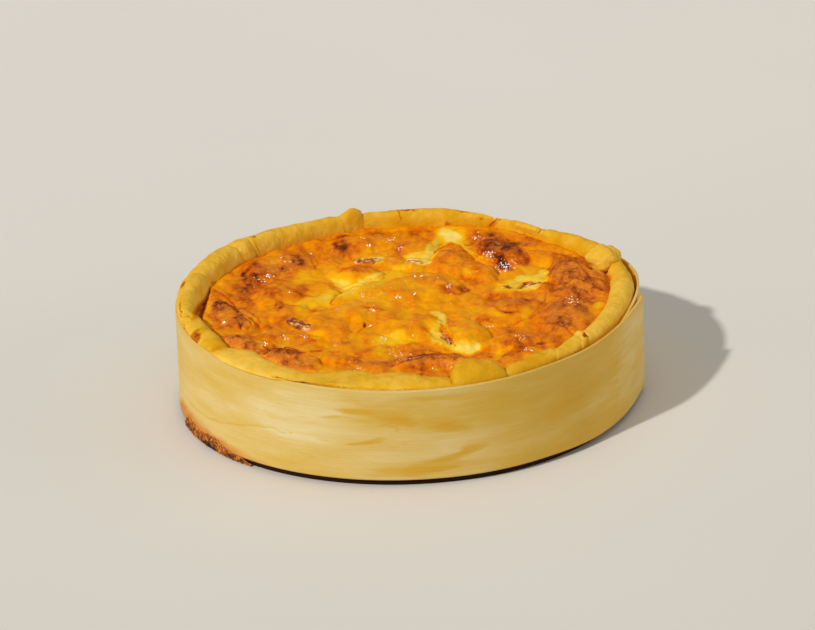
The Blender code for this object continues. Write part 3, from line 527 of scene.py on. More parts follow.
# Brown marks on the rim, like the custard's patches, and painted shade on the left roll's inner side
RIM_MARKS = (
    ("left_front_burn", 195, 338, 9, 5, 64, 0.8, 0.95, 2.2),
    ("left_front_burn_dark", 197, 333.5, 4.6, 2.2, 60, 0.88, 0.9, 1.8),
    ("left_front_burn_low", 192.5, 341, 1.6, 1.2, 60, 0.9, 0.8, 1.8),
    ("left_front_gold", 202, 330, 6, 3, 20, 0.54, 0.6, 1.2),
    ("left_mark", 183, 284.5, 3.4, 1.2, 58, 0.83, 0.95, 1.8),
    ("left_inner_shade", 198, 311, 10, 4, 62, 0.74, 0.85, 1.2),
    ("back_crack_shade", 491, 226, 8, 2.6, 38, 0.74, 0.8, 1.2),
    ("back_edge", 408, 210, 9, 1, 0, 0.82, 0.9, 1.6),
    ("back_edge_b", 462, 211.4, 7, 1, -8, 0.74, 0.8, 1.4),
    ("back_blob", 447.8, 224.2, 3.4, 2.8, 0, 0.74, 0.9, 1.6),
    ("back_dot", 481, 218.8, 1.6, 1.3, 0, 0.74, 0.9, 1.6),
    ("back_left_dot", 254, 237, 2.2, 1, 10, 0.7, 0.9, 1.6),
    ("back_gold_low", 455, 232, 60, 3, -8, 0.52, 0.6, 1),
    ("back_gold_right", 530, 232, 16, 3, -20, 0.62, 0.8, 1.2),
    ("back_right_gold", 560, 246, 24, 3.4, -20, 0.5, 0.6, 1),
    ("knuckle_spot", 585.5, 335, 3.8, 1.5, -34, 0.88, 0.95, 1.8),
    ("knob_gold", 478, 372, 24, 10, 0, 0.5, 0.7, 1),
    ("knuckle_shade", 587, 344, 2.4, 6, 0, 0.5, 0.6, 1.2),
)

# Thin cracks and folds in the rim, some drawn as painted shade: half width in pixels, how dark, and route
RIM_LINES = (
    ("strip_crack", 0.9, 0.96, ((180.6, 301.5), (180.2, 308), (181.2, 316.5))),
    ("strip_crack_low", 0.7, 0.84, ((182, 321.5), (186, 331), (190, 337))),
    ("left_joint", 0.9, 0.72, ((180.5, 316.6), (186, 316.4), (193, 318.6), (198, 324))),
    ("lip_start", 0.9, 0.62, ((210.5, 351.5), (216, 349.4), (223, 350))),
    # Painted shade: dark lines along the folds of the left rolls, where the rim has no groove
    ("pinch", 0.9, 0.62, ((254, 243), (257, 248.5), (260.5, 255.5))),
    ("pinch_b", 1.2, 0.55, ((236, 246), (240, 251), (245, 257))),
    ("back_crack", 1.2, 0.95, ((497.5, 218.5), (494, 221.5), (489.5, 226))),
    ("back_crack_side", 0.8, 0.95, ((501.5, 219.5), (498, 221))),
    ("back_crack_b", 1, 0.93, ((541.5, 229), (540, 231), (537.8, 233.6))),
    ("back_line", 0.9, 0.83, ((396.5, 209), (400, 214.5), (401, 221))),
    ("lip_crack", 0.8, 0.74, ((271, 376), (284, 379.5), (305, 383.5))),
    ("lip_crack_b", 0.6, 0.66, ((338, 386.5), (366, 388.5), (396, 390), (420, 389))),
    ("lip_end", 0.8, 0.72, ((441, 379), (449, 380.5), (457, 386))),
)

# Dry, crackled, matt parts of the custard's skin: centre x and y, half length, half width, turn
# and amount
DRY = (
    ("right_lobe", 74, 12, 26, 14, 98, 0.5),
    ("right_front", 65, -30, 22, 12, 78, 0.4),
    ("lump_b", -50, -68, 17, 9, -42, 0.5),
    ("lump_a", -70, -49, 13, 8, -38, 0.6),
    ("left_lobe", -77, -16, 20, 9, -60, 0.5),
    ("front_ridge", 8, -73, 20, 7, 3, 0.55),
    ("curl", -22, -10, 12, 6, 30, 0.5),
    ("back_left", -55, 42, 18, 10, 48, 0.4),
)

# Wet, shining parts of the skin, in the same order
WET = (
    ("burnt", 41, 48, 18, 9, 114, 1),
    ("burnt_tail", 43, 30, 5, 4, 0, 1),
    ("left_streak", -62, 30, 10, 6, 40, 0.8),
    ("back", -15, 64, 18, 8, 0, 0.8),
    ("centre", 2, 10, 24, 14, 20, 0.6),
    ("front", -6, -60, 22, 9, 10, 0.7),
    ("front_right", 44, -48, 14, 12, 0, 0.7),
)

# Bits of bacon: centre x and y, length, width, thickness, turn, and how fat they are
BACON = (
    (52, 7.6, 11, 3.2, 3.8, 24, 0.4),
    (41.3, 4.6, 6, 3.4, 3.8, -20, 0.5),
    (14, -49.6, 11, 3.4, 4.4, -74, 0.45),
    (-18, 42.4, 13, 4, 4, 14, 0.5),
    (2.2, 39, 8, 3.8, 3.8, -8, 0.66),
    (-46.4, -27.6, 17, 5.2, 4.4, -50, 0.36),
)
BACON_SINK = 0.3
BACON_SECTIONS = 60
BACON_SIDES = 48

# Custard burnt at the strip's foot
SPILL_TOP = (
    (198.5, 1), (200.5, 4.6), (203, 6.2), (206, 5.6), (209, 5.2), (213, 5.4), (216, 5.9), (219, 4.8),
    (222, 3.8), (226, 2.3), (229, 0.8),
)
SPILL_STEPS = 420
SPILL_LIFT = 0.25
SPILL_DEPTH = 0.75
SPILL_SIDES = 40
SPILL_BEDDING = 0.3
SPILL_LOWEST = 0.05

# Its blackest part in pixels: middle, half length, half width and turn
SPILL_BLACK = (209, 445, 9, 3, -34)

# Paler and more amber places on the strip, as rows like the custard's patches, with one painted highlight
STAINS_AND_HIGHLIGHT = (
    ("pale_front", 300, 412, 46, 26, -8, 0.04, 0.85, 1),
    ("pale_low", 296, 436, 30, 4, -12, 0.04, 0.6, 1.2),
    ("pale_left", 212, 436, 30, 8, -36, 0.12, 0.6, 1),
    ("top_left", 232, 378, 34, 8, -18, 0.44, 0.7, 1),
    ("wide_amber", 420, 418, 58, 12, -4, 0.6, 0.5, 1),
    ("amber_streak", 352, 412.5, 15, 1.8, -2, 0.82, 0.8, 1.2),
    ("amber_streak_low", 335, 417.5, 10, 1.4, 2, 0.74, 0.7, 1.2),
    ("amber_streak_b", 382, 416, 20, 3.6, -8, 0.84, 0.68, 1),
    ("amber_streak_c", 404, 419, 18, 6, -14, 0.82, 0.7, 1),
    ("amber_streak_d", 392, 427, 12, 2, -30, 0.7, 0.5, 1.2),
    ("amber_right", 440, 421, 16, 4, 0, 0.7, 0.6, 1.2),
    ("amber_right_b", 452, 427, 18, 4.6, -2, 0.84, 0.6, 1),
    ("amber_low", 366, 441, 16, 1.8, 8, 0.8, 0.8, 1.4),
    ("amber_low_b", 430, 467, 26, 6, 14, 0.9, 0.62, 1),
    ("amber_low_c", 448, 457, 20, 3, 20, 0.84, 0.5, 1),
    ("amber_low_d", 470, 450, 17, 3.4, 16, 0.86, 0.58, 1),
    ("amber_low_e", 396, 471, 26, 6, 4, 0.7, 0.6, 1),
    ("pale_middle", 416, 441, 34, 8, 4, 0.28, 0.7, 1),
    ("gold_middle", 500, 408, 40, 14, 10, 0.7, 0.6, 1),
    ("gold_right", 560, 395, 36, 18, 24, 0.7, 0.5, 1),
    ("under_edge", 458, 397, 60, 3, 4, 0.58, 0.7, 1.2),
    ("pale_right", 582, 414, 44, 5, 32, 0.34, 0.6, 1),
    # A painted highlight: a pale upright band where light catches the strip near its right end
    ("painted_highlight_end", 627, 358, 36, 8, 84, 0.14, 0.6, 0.8),
    ("amber_foot", 560, 446, 50, 5, 24, 0.72, 0.5, 1),
)

# Thin marks on the strip, as rows like the rim's lines; along a bend they are painted shade and a painted
# highlight
STRIP_LINES = (
    # Painted shade along a bend in the veneer, with a painted highlight below it
    ("bend", 1.4, 0.66, ((190, 403), (200, 413), (215, 421), (236, 424), (252, 425), (272, 429),
        (291, 434))),
    ("bend_light", 1.5, 0, ((258, 427), (272, 431), (292, 436), (316, 440))),
    ("light_high", 1.4, 0.04, ((272, 391), (292, 397), (318, 401))),
    ("speck", 0.8, 0.8, ((578, 398), (580, 400))),
)

# How amber the strip's inner face is painted: painted shade on the face that turns in to the pastry, with
# fat soaked in from the pastry
INNER_SHADE_AND_FAT = 0.96

# Height up to which the strip is scorched above the burnt spill: angle, millimetres
SCORCH_TOP = (
    (186, 3), (191, 8), (197, 12), (205, 11.2), (213, 10.4), (222, 8.6), (229, 6.4), (237, 4.4),
    (243, 2.5),
)


# Noise

NOISE_SEED = 11
NOISE_SHIFT = (17.3, 5.1, 9.7)
LATTICE = 256
NOISE_TABLE = np.random.default_rng(NOISE_SEED).permutation(LATTICE)
NOISE_ARROWS = np.random.default_rng(NOISE_SEED + 1).normal(size=(LATTICE, 3))
NOISE_ARROWS /= np.linalg.norm(NOISE_ARROWS, axis=1, keepdims=True)


def perlin(points):
    """Smooth noise, about -1 to 1, at rows of x, y, z."""
    cell = np.floor(points).astype(int)
    part = points - cell
    fade = part ** 3 * (part * (part * 6 - 15) + 10)
    total = np.zeros(len(points))
    for corner in np.ndindex(2, 2, 2):
        at = cell + corner
        index = NOISE_TABLE[at[:, 0] % LATTICE]
        index = NOISE_TABLE[(index + at[:, 1]) % LATTICE]
        index = NOISE_TABLE[(index + at[:, 2]) % LATTICE]
        weight = np.prod(np.where(np.array(corner) == 1, fade, 1 - fade), axis=1)
        total += weight * np.sum(NOISE_ARROWS[index] * (part - corner), axis=1)
    return 1.6 * total


def noise_at(x, y, z, size, layer=0, octaves=1):
    """Fractal noise with features of a size in millimetres, another pattern for each layer."""
    x, y, z = np.broadcast_arrays(x, y, z)
    points = np.stack([x.ravel(), y.ravel(), z.ravel()], axis=1) / size
    points += np.array(NOISE_SHIFT) * layer
    total = np.zeros(len(points))
    for octave in range(octaves):
        total += perlin(points * 2 ** octave) * 0.5 ** octave
    return total.reshape(x.shape)


def smooth(low, high, value):
    """Rises from 0 at low to 1 at high without a corner."""
    share = np.clip((value - low) / (high - low), 0, 1)
    return share * share * (3 - 2 * share)


def window(start, full, ebb, end, value):
    """Rises from 0 at start to 1 at full, and falls again from ebb to end."""
    return smooth(start, full, value) * (1 - smooth(ebb, end, value))


def ridged(value):
    """Turns smooth noise into sharp ridges, 0 to 1."""
    return 1 - np.abs(value)


# The ring's and rim's outline

def wave(size, turn, times, angle):
    return size * np.cos(np.radians(times * (angle - turn)))


def swell(size, middle, spread, angle):
    away = np.abs((angle - middle + 180) % 360 - 180)
    return size * np.exp(-(away / spread) ** 3)


def strip_outline(angle):
    oval = wave(*STRIP_OVAL, 2, angle) + wave(*STRIP_TRIANGLE, 3, angle)
    return STRIP_RADIUS + oval - swell(*STRIP_BACK_DENT, angle)


def strip_lean(angle, height):
    share = (height - STRIP_FOOT) / STRIP_HEIGHT - 0.5
    return STRIP_LEAN * share * np.cos(np.radians(3 * (angle - 270)))


def case_radius(angle, height):
    return strip_outline(angle) + strip_lean(angle, height) - STRIP_THICK - GAP


def straight_rows(rows, angle):
    """Value at an angle, on straight lines between rows of angle and value."""
    angles, values = zip(*rows)
    return np.interp(angle % 360, angles, values)


def along_rows(rows, place, column):
    """Smoothly varying value in a column of rows whose first column is an angle."""
    stations = np.array([row[0] for row in rows])
    values = np.array([row[column] for row in rows])
    index = np.clip(np.searchsorted(stations, place, side="right") - 1, 0, len(rows) - 2)
    share = smooth(stations[index], stations[index + 1], place)
    return values[index] + (values[index + 1] - values[index]) * share


def end_dip(away, depth, width):
    """How far a roll sinks at some degrees from its end: a quarter circle of a depth and a width."""
    rest = 1 - np.clip(away / width, 0, 1)
    return depth * (1 - np.sqrt(1 - rest * rest))


def rim_at(angle):
    """Inner radius, outer radius, top, gap to the strip, squareness and dip of the rim."""
    turned = np.ravel(angle) % 360
    inner, gap, top, square, dip = np.zeros((5, len(turned)))
    for _, squareness, first, last, rows in RIM:
        start, stop = rows[0][0], rows[-1][0]
        for lap in (0, 360):
            local = turned + lap
            here = (local >= start) & (local < stop)
            local = local[here]
            for column, part in enumerate((inner, gap, top), 1):
                part[here] = along_rows(rows, local, column)
            square[here] = squareness
            dip[here] = np.maximum(end_dip(local - start, *first), end_dip(stop - local, *last))
    outer = case_radius(turned, ROLL_BASE) - gap
    return tuple(part.reshape(np.shape(angle)) for part in (inner, outer, top, gap, square, dip))


def slant_at(angle):
    return straight_rows(SLANTS, angle)


# Meshes

def polar(radius, angle, height):
    turn = np.radians(angle)
    return np.stack([radius * np.cos(turn), radius * np.sin(turn), height + 0 * radius], axis=-1)


def ball_points(leans, sides):
    """Points of a ball of radius 1, in rings that lean from its top by some angles."""
    lean, turn = np.meshgrid(leans, 2 * math.pi * np.arange(sides) / sides, indexing="ij")
    return np.stack([np.sin(lean) * np.cos(turn), np.sin(lean) * np.sin(turn), np.cos(lean)], axis=-1)


def ring_rows(rings, count, first=0):
    """Numbers of the points of rings that follow each other, a row for each ring."""
    return first + np.arange(rings * count).reshape(rings, count)


def ring_faces(rows):
    """Quads between rows of point numbers, each row a ring."""
    after = np.roll(rows, -1, axis=1)
    return np.stack([rows[:-1], after[:-1], after[1:], rows[1:]], axis=-1).reshape(-1, 4)


def turned_faces(rows):
    """The same quads from the same first corners, facing the other way."""
    return ring_faces(rows)[:, (0, 3, 2, 1)].tolist()


def fan_faces(ring, centre, flip=False):
    """Triangles from a ring of point numbers to its centre."""
    here, after = ring.tolist(), np.roll(ring, -1).tolist()
    if flip:
        here, after = after, here
    return [(centre, first, second) for first, second in zip(here, after)]


def closed_faces(rings, count, flip=False):
    """Faces of a loft whose rings are followed by the centres of its two ends."""
    rows = ring_rows(rings, count)
    quads = ring_faces(rows)
    faces = (quads[:, ::-1] if flip else quads).tolist()
    centre = rings * count
    return faces + fan_faces(rows[0], centre, not flip) + fan_faces(rows[-1], centre + 1, flip)


def end_faces(rings, count):
    """The two flat ends of a loft."""
    rows = ring_rows(rings, count).tolist()
    return [rows[0], rows[-1][::-1]]


def with_centres(points, count):
    """Points of a loft with the centres of its first and last ring added."""
    return np.concatenate([points, [points[:count].mean(axis=0), points[-count:].mean(axis=0)]])


def extended(values, count, fill):
    """Values with more added, all alike."""
    return np.concatenate([np.ravel(values), np.full(count, fill)])


def show(name, data):
    """A new object in the scene that holds a mesh, camera or light."""
    thing = bpy.data.objects.new(name, data)
    bpy.context.scene.collection.objects.link(thing)
    return thing


def make_piece(name, points, faces, material, nodes, values):
    """A smooth mesh object in metres that rides on the quiche, with named values at its points."""
    mesh = bpy.data.meshes.new(name)
    mesh.from_pydata((points * MM).tolist(), [], faces)
    for key, value in values.items():
        kind, field = ("FLOAT", "value") if np.ndim(value) == 1 else ("FLOAT_VECTOR", "vector")
        layer = mesh.attributes.new(key, kind, "POINT")
        layer.data.foreach_set(field, np.ravel(value).astype(np.float32))
    mesh.validate()
    mesh.shade_smooth()
    mesh.materials.append(material)
    piece = show(name, mesh)
    if nodes:
        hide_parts(*nodes)
    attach(piece, "root")


# Materials

class Nodes:
    """A new material. Each call adds a node, feeds its sockets and returns what it gives out."""

    def __init__(self, name):
        self.material = bpy.data.materials.new(name)
        self.material.use_nodes = True
        self.tree = self.material.node_tree
        self.shader = self.tree.nodes["Principled BSDF"]

    def feed(self, node, sockets):
        """Links each named socket, or sets its value."""
        for key, value in sockets.items():
            if isinstance(value, bpy.types.NodeSocket):
                self.tree.links.new(value, node.inputs[key])
            elif value is not None:
                node.inputs[key].default_value = value

    def add(self, kind, output, sockets, **settings):
        node = self.tree.nodes.new("ShaderNode" + kind)
        for key, value in settings.items():
            setattr(node, key, value)
        self.feed(node, sockets)
        return node.outputs[output]

    def named(self, name, output="Fac"):
        return self.add("Attribute", output, {}, attribute_name=name)

    def place(self):
        return self.add("TexCoord", "Object", {})

    def scaled(self, vector, scale):
        return self.add("Mapping", "Vector", {"Vector": vector, "Scale": scale})

    def noise(self, vector, scale, detail=2, roughness=0.5, distortion=0):
        return self.add("TexNoise", "Fac", {
            "Vector": vector, "Scale": scale, "Detail": detail, "Roughness": roughness,
            "Distortion": distortion})

    def maths(self, operation, first, second=0, clamp=False):
        return self.add("Math", "Value", {0: first, 1: second}, operation=operation, use_clamp=clamp)

    def plus(self, first, second):
        return self.maths("ADD", first, second)

    def plus_clamped(self, first, second):
        return self.maths("ADD", first, second, True)

    def times(self, first, second):
        return self.maths("MULTIPLY", first, second)

    def times_clamped(self, first, second):
        return self.maths("MULTIPLY", first, second, True)

    def spread(self, value, low, high, to_low=0, to_high=1):
        return self.add("MapRange", "Result", {
            "Value": value, "From Min": low, "From Max": high, "To Min": to_low, "To Max": to_high})

    def ripple(self, noise, size):
        """A noise drawn out to swing between plus and minus a size."""
        return self.spread(noise, 0.3, 0.7, -size, size)

    def ramp(self, value, stops):
        colour = self.add("ValToRGB", "Color", {"Fac": value})
        points = colour.node.color_ramp.elements
        while len(points) < len(stops):
            points.new(0.5)
        for point, (position, *shade) in zip(points, stops):
            point.position = position
            point.color = srgb(*shade)
        return colour

    def mix(self, share, first, second):
        return self.add("Mix", "Result", {"Factor": share, "A": first, "B": second}, data_type="RGBA")

    def bump(self, height, distance, strength, under=None):
        return self.add("Bump", "Normal", {
            "Height": height, "Distance": distance, "Strength": strength, "Normal": under})

    def finish(self, colour, roughness, specular, normal=None, coat=0, coat_roughness=0.1):
        self.feed(self.shader, {
            "Base Color": colour, "Roughness": roughness, "Specular IOR Level": specular, "Normal": normal,
            "Coat Weight": coat, "Coat Roughness": coat_roughness})
        return self.material


def linear(level):
    """A screen level of 0 to 255 as linear light."""
    share = level / 255
    return share / 12.92 if share <= 0.04045 else ((share + 0.055) / 1.055) ** 2.4


def srgb(red, green, blue):
    """An opaque screen colour as linear light."""
    return linear(red), linear(green), linear(blue), 1


# Colour ramps: place on the ramp, then red, green and blue on the screen
CUSTARD_STOPS = (
    (0, 250, 222, 128), (0.1, 240, 198, 62), (0.22, 240, 179, 12), (0.36, 237, 161, 3), (0.5, 233, 145, 1),
    (0.62, 227, 127, 2), (0.72, 211, 106, 4), (0.82, 180, 82, 8), (0.91, 128, 50, 9), (1, 80, 30, 8),
)
DRY_STOPS = (
    (0.3, 234, 166, 60), (0.55, 222, 136, 46), (0.72, 202, 110, 40), (0.85, 162, 78, 32),
    (0.95, 106, 44, 20),
)
VENEER_STOPS = (
    (0, 224, 206, 154), (0.25, 217, 188, 114), (0.5, 210, 171, 74), (0.75, 208, 158, 42), (1, 208, 144, 22),
)
CRUST_STOPS = (
    (0, 242, 208, 104), (0.25, 234, 186, 64), (0.45, 217, 161, 22), (0.6, 206, 136, 10),
    (0.75, 190, 100, 8), (0.9, 118, 50, 10), (1, 40, 20, 8),
)
BACON_STOPS = (
    (0, 104, 46, 14), (0.3, 160, 86, 28), (0.55, 202, 126, 52), (0.8, 216, 162, 92), (1, 236, 202, 136),
)
BURNT_STOPS = (
    (0, 214, 138, 26), (0.3, 168, 90, 16), (0.6, 112, 54, 12), (0.8, 56, 26, 8), (1, 16, 10, 8),
)
# The floor's painted fall of light, from its darker front right to its lighter back left
FLOOR_STOPS = ((0, 206, 200, 191), (0.45, 224, 219, 210), (1, 235, 232, 224))


def custard_tone(nodes, place):
    """How far the skin is baked, with fine mottling where it isn't pale."""
    baked = nodes.named("baked")
    shift = nodes.plus(nodes.ripple(nodes.noise(place, 330, 3, 0.6), 0.08),
                       nodes.ripple(nodes.noise(place, 1200, 3, 0.65), 0.06))
    return nodes.plus_clamped(baked, nodes.times(shift, nodes.spread(baked, 0.05, 0.4, 0.25, 1)))


def custard_web(nodes, place, tone, dry):
    """A web of fine pale cracks, strongest on the dry parts and faint where the skin is burnt."""
    web = nodes.maths("ABSOLUTE", nodes.maths("SUBTRACT", nodes.noise(place, 330, 5, 0.65, 1.6), 0.5))
    web = nodes.times_clamped(nodes.spread(web, 0, 0.03, 1, 0), nodes.spread(tone, 0.4, 0.6))
    web = nodes.times_clamped(web, nodes.spread(tone, 0.82, 0.95, 1, 0.15))
    patches = nodes.plus_clamped(nodes.spread(nodes.noise(place, 90), 0.42, 0.6, 0, 0.36), dry)
    return nodes.times_clamped(web, nodes.times(patches, 0.75))


def custard_material():
    nodes = Nodes("custard")
    place = nodes.place()
    tone = custard_tone(nodes, place)
    dry = nodes.named("dry")
    fibre = nodes.noise(place, 700, 4, 0.7, 1.5)
    chalk = nodes.times_clamped(dry, nodes.spread(fibre, 0.35, 0.65, 0.35, 1))
    colour = nodes.mix(chalk, nodes.ramp(tone, CUSTARD_STOPS), nodes.ramp(tone, DRY_STOPS))
    web = custard_web(nodes, place, tone, dry)
    colour = nodes.mix(web, colour, srgb(240, 186, 88))
    roughness = nodes.spread(dry, 0, 1, 0.36, 0.66)
    roughness = nodes.maths("SUBTRACT", roughness, nodes.times(nodes.named("wet"), 0.12), True)
    normal = nodes.bump(nodes.noise(place, 850, 3, 0.6), 0.00024, 0.7)
    normal = nodes.bump(nodes.noise(place, 2600), 0.00006, 0.5, normal)
    normal = nodes.bump(web, 0.00015, 0.6, normal)
    return nodes.finish(colour, roughness, 0.035, normal)


def fat_and_glint_material():
    nodes = Nodes("fat")
    tone = custard_tone(nodes, nodes.place())
    # The beads are painted almost white: a painted highlight on each bead of fat
    colour = nodes.mix(0.7, nodes.ramp(tone, CUSTARD_STOPS), srgb(250, 244, 226))
    return nodes.finish(colour, 0.2, 1, coat=1, coat_roughness=0.14)


def crust_material():
    nodes = Nodes("crust")
    place = nodes.place()
    shift = nodes.plus(nodes.ripple(nodes.noise(place, 160, 3, 0.55), 0.05),
                       nodes.ripple(nodes.noise(place, 900, 3, 0.6), 0.03))
    colour = nodes.ramp(nodes.plus_clamped(nodes.named("baked"), shift), CRUST_STOPS)
    roughness = nodes.spread(nodes.named("glaze"), 0, 1, 0.66, 0.34)
    normal = nodes.bump(nodes.noise(place, 500, 4, 0.6), 0.0004, 0.8)
    normal = nodes.bump(nodes.noise(place, 2400), 0.00008, 0.6, normal)
    return nodes.finish(colour, roughness, 0.08, normal)


def veneer_material():
    nodes = Nodes("veneer")
    strip = nodes.named("strip", "Vector")
    long_grain = nodes.noise(nodes.scaled(strip, (0.03, 1.6, 1)), 1, 4, 0.65, 0.4)
    fine_grain = nodes.noise(nodes.scaled(strip, (0.22, 5, 1)), 1, 3, 0.6)
    cloud = nodes.noise(nodes.scaled(strip, (0.03, 0.12, 1)), 1, 4, 0.6, 0.6)
    shift = nodes.plus(nodes.ripple(long_grain, 0.07), nodes.ripple(fine_grain, 0.07))
    shift = nodes.plus(shift, nodes.ripple(cloud, 0.09))
    colour = nodes.ramp(nodes.plus_clamped(nodes.named("tone"), shift), VENEER_STOPS)
    scorch = nodes.times_clamped(nodes.named("scorch"), nodes.spread(long_grain, 0.3, 0.7, 0.7, 1.15))
    colour = nodes.mix(scorch, colour, srgb(200, 116, 6))
    normal = nodes.bump(nodes.plus(fine_grain, long_grain), 0.00005, 0.6)
    return nodes.finish(colour, 0.62, 0.2, normal)


def bacon_material():
    nodes = Nodes("bacon")
    place = nodes.place()
    streaks = nodes.spread(nodes.noise(place, 620, 3, 0.65), 0.32, 0.68, -0.4, 0.4)
    colour = nodes.ramp(nodes.plus_clamped(nodes.named("fat"), streaks), BACON_STOPS)
    normal = nodes.bump(nodes.noise(place, 1500, 3, 0.6), 0.0003, 0.8)
    return nodes.finish(colour, 0.42, 0.3, normal)


def burnt_material():
    nodes = Nodes("burnt")
    place = nodes.place()
    crumbs = nodes.ripple(nodes.noise(place, 900, 3, 0.6), 0.3)
    colour = nodes.ramp(nodes.plus_clamped(nodes.named("baked"), crumbs), BURNT_STOPS)
    normal = nodes.bump(nodes.noise(place, 1400, 3, 0.6), 0.0004, 0.8)
    return nodes.finish(colour, 0.6, 0.3, normal)


def floor_material():
    nodes = Nodes("floor")
    place = nodes.place()
    x = nodes.add("SeparateXYZ", "X", {"Vector": place})
    # The floor is painted lighter towards the back left and darker towards the front right: a painted fall
    # of the light, with faint clouds
    across = nodes.maths("SUBTRACT", x.node.outputs["Y"], x)
    cloud = nodes.spread(nodes.noise(place, 3), 0.3, 0.7, 0, 0.1)
    light = nodes.plus_clamped(nodes.spread(across, -0.8, 1.4, 0, 0.9), cloud)
    return nodes.finish(nodes.ramp(light, FLOOR_STOPS), 0.6, 0.2)


# Marks placed by pixels of the photograph

def seen_at(points):
    """Where points in millimetres show in the photograph, in its pixels."""
    turn = Matrix.Rotation(math.radians(90 - CAMERA_PITCH), 3, "X")
    turn = np.array(turn @ Matrix.Rotation(math.radians(CAMERA_ROLL), 3, "Z"))
    local = (points * MM - np.array(CAMERA_PLACE)) @ turn
    scale = PHOTO_WIDTH * CAMERA_LENS / CAMERA_SENSOR
    return (0.5 * PHOTO_WIDTH - scale * local[..., 0] / local[..., 2],
            0.5 * PHOTO_HEIGHT + scale * local[..., 1] / local[..., 2])


def oval_reach(dx, dy, long_half, short_half, turn):
    """Squared distance from an oval's middle, 1 on its edge."""
    angle = math.radians(turn)
    along = (dx * math.cos(angle) + dy * math.sin(angle)) / long_half
    across = (dy * math.cos(angle) - dx * math.sin(angle)) / short_half
    return along * along + across * across


def covered(value, patch, seen_x, seen_y):
    """A value with a patch laid over it, whose row ends with tone, strength and sharpness."""
    reach = oval_reach(seen_x - patch[1], patch[2] - seen_y, *patch[3:6])
    cover = patch[7] * smooth(-1, 1, (1 - reach) * patch[8])
    return value * (1 - cover) + patch[6] * cover


def line_reach(x, y, route):
    """Distance from a line through a few points, and the share of the way along it."""
    nearest = np.full(np.shape(x), np.inf)
    share = np.zeros(np.shape(x))
    steps = len(route) - 1
    for index in range(steps):
        (x0, y0), (x1, y1) = route[index:index + 2]
        length = (x1 - x0) ** 2 + (y1 - y0) ** 2
        along = np.clip(((x - x0) * (x1 - x0) + (y - y0) * (y1 - y0)) / length, 0, 1)
        away = np.hypot(x - x0 - along * (x1 - x0), y - y0 - along * (y1 - y0))
        closer = away < nearest
        nearest = np.where(closer, away, nearest)
        share = np.where(closer, (index + along) / steps, share)
    return nearest, share


def line_cover(x, y, line, widen=1):
    """1 on a line's middle, 0 at its half width, which thins towards its ends."""
    away, share = line_reach(x, y, line[3])
    thin = 0.35 + 0.65 * np.sin(math.pi * np.clip(share, 0, 1)) ** 0.5
    return smooth(0, 1, 1 - away / (line[1] * widen * thin))


def drawn_over(value, lines, strength, seen_x, seen_y):
    """A value with lines drawn over it, whose rows hold a name, half width, tone and route."""
    for line in lines:
        cover = strength * line_cover(seen_x, seen_y, line)
        value = value * (1 - cover) + line[2] * cover
    return value


# Pastry

def roll_bumps(x, y, z, angle, share):
    """Uneven dough, wrinkled on the roll at the left."""
    bump = 0.5 * noise_at(x, y, z, 9, 1) + 0.24 * noise_at(x, y, z, 3.6, 2)
    bump += 0.09 * noise_at(x, y, z, 1.5, 3)
    wrinkled = window(112, 122, 166, 170, angle % 360) * smooth(0.5, 0.8, share)
    wrinkled = wrinkled * (0.5 + smooth(-0.2, 0.4, noise_at(x, y, z, 11, 9)))
    return bump + 0.2 * wrinkled * (1 - 2 * np.abs(noise_at(x, y, 0.6 * z, 3.8, 5, 2)))


def roll_surface(angle, share):
    """Points of the rolled rim over grids of angle and share, from its outer foot to its inner one."""
    inner, outer, top, gap, square, dip = rim_at(angle + slant_at(angle) * (share - 0.5))
    turn = math.pi * share
    envelope = np.sin(turn) ** 0.5
    half = 0.5 * (outer - inner) * (1 - END_PINCH * dip * envelope)
    radius = 0.5 * (inner + outer) + half * np.cos(turn)
    overhang = smooth(0, OVERHANG_FULL, -gap)
    hang = HANG_DEPTH * smooth(HANG_START, HANG_FULL, -gap)
    base = ROLL_BASE + (OVERHANG_BASE - hang - ROLL_BASE) * overhang * 0.5 * (1 + np.cos(turn))
    height = base + (top - dip - base) * np.sin(turn) ** square
    bump = roll_bumps(*np.moveaxis(polar(radius, angle, height), -1, 0), angle, share)
    height = height + bump * envelope * np.sin(turn)
    radius = radius + bump * envelope * np.cos(turn)
    return polar(radius, angle, height), dip


def lump_surface(angle, radius, level, *half_sizes):
    """Points and faces of a lump of dough pressed on the rim."""
    shape = ball_points(math.pi * (np.arange(LUMP_RINGS) + 0.5) / LUMP_RINGS, LUMP_SIDES)
    way = np.moveaxis(shape, -1, 0)
    rough = noise_at(*way, 0.75, radius) * 0.2 + noise_at(*way, 0.3, radius, 2) * 0.05
    across, along, up = np.moveaxis(shape * (1 + rough[..., None]) * np.array(half_sizes), -1, 0)
    turn = math.radians(angle)
    x = radius * math.cos(turn) + across * math.cos(turn) - along * math.sin(turn)
    y = radius * math.sin(turn) + across * math.sin(turn) + along * math.cos(turn)
    points = np.stack([x, y, level + up], axis=-1).reshape(-1, 3)
    return with_centres(points, LUMP_SIDES), closed_faces(LUMP_RINGS, LUMP_SIDES, True)


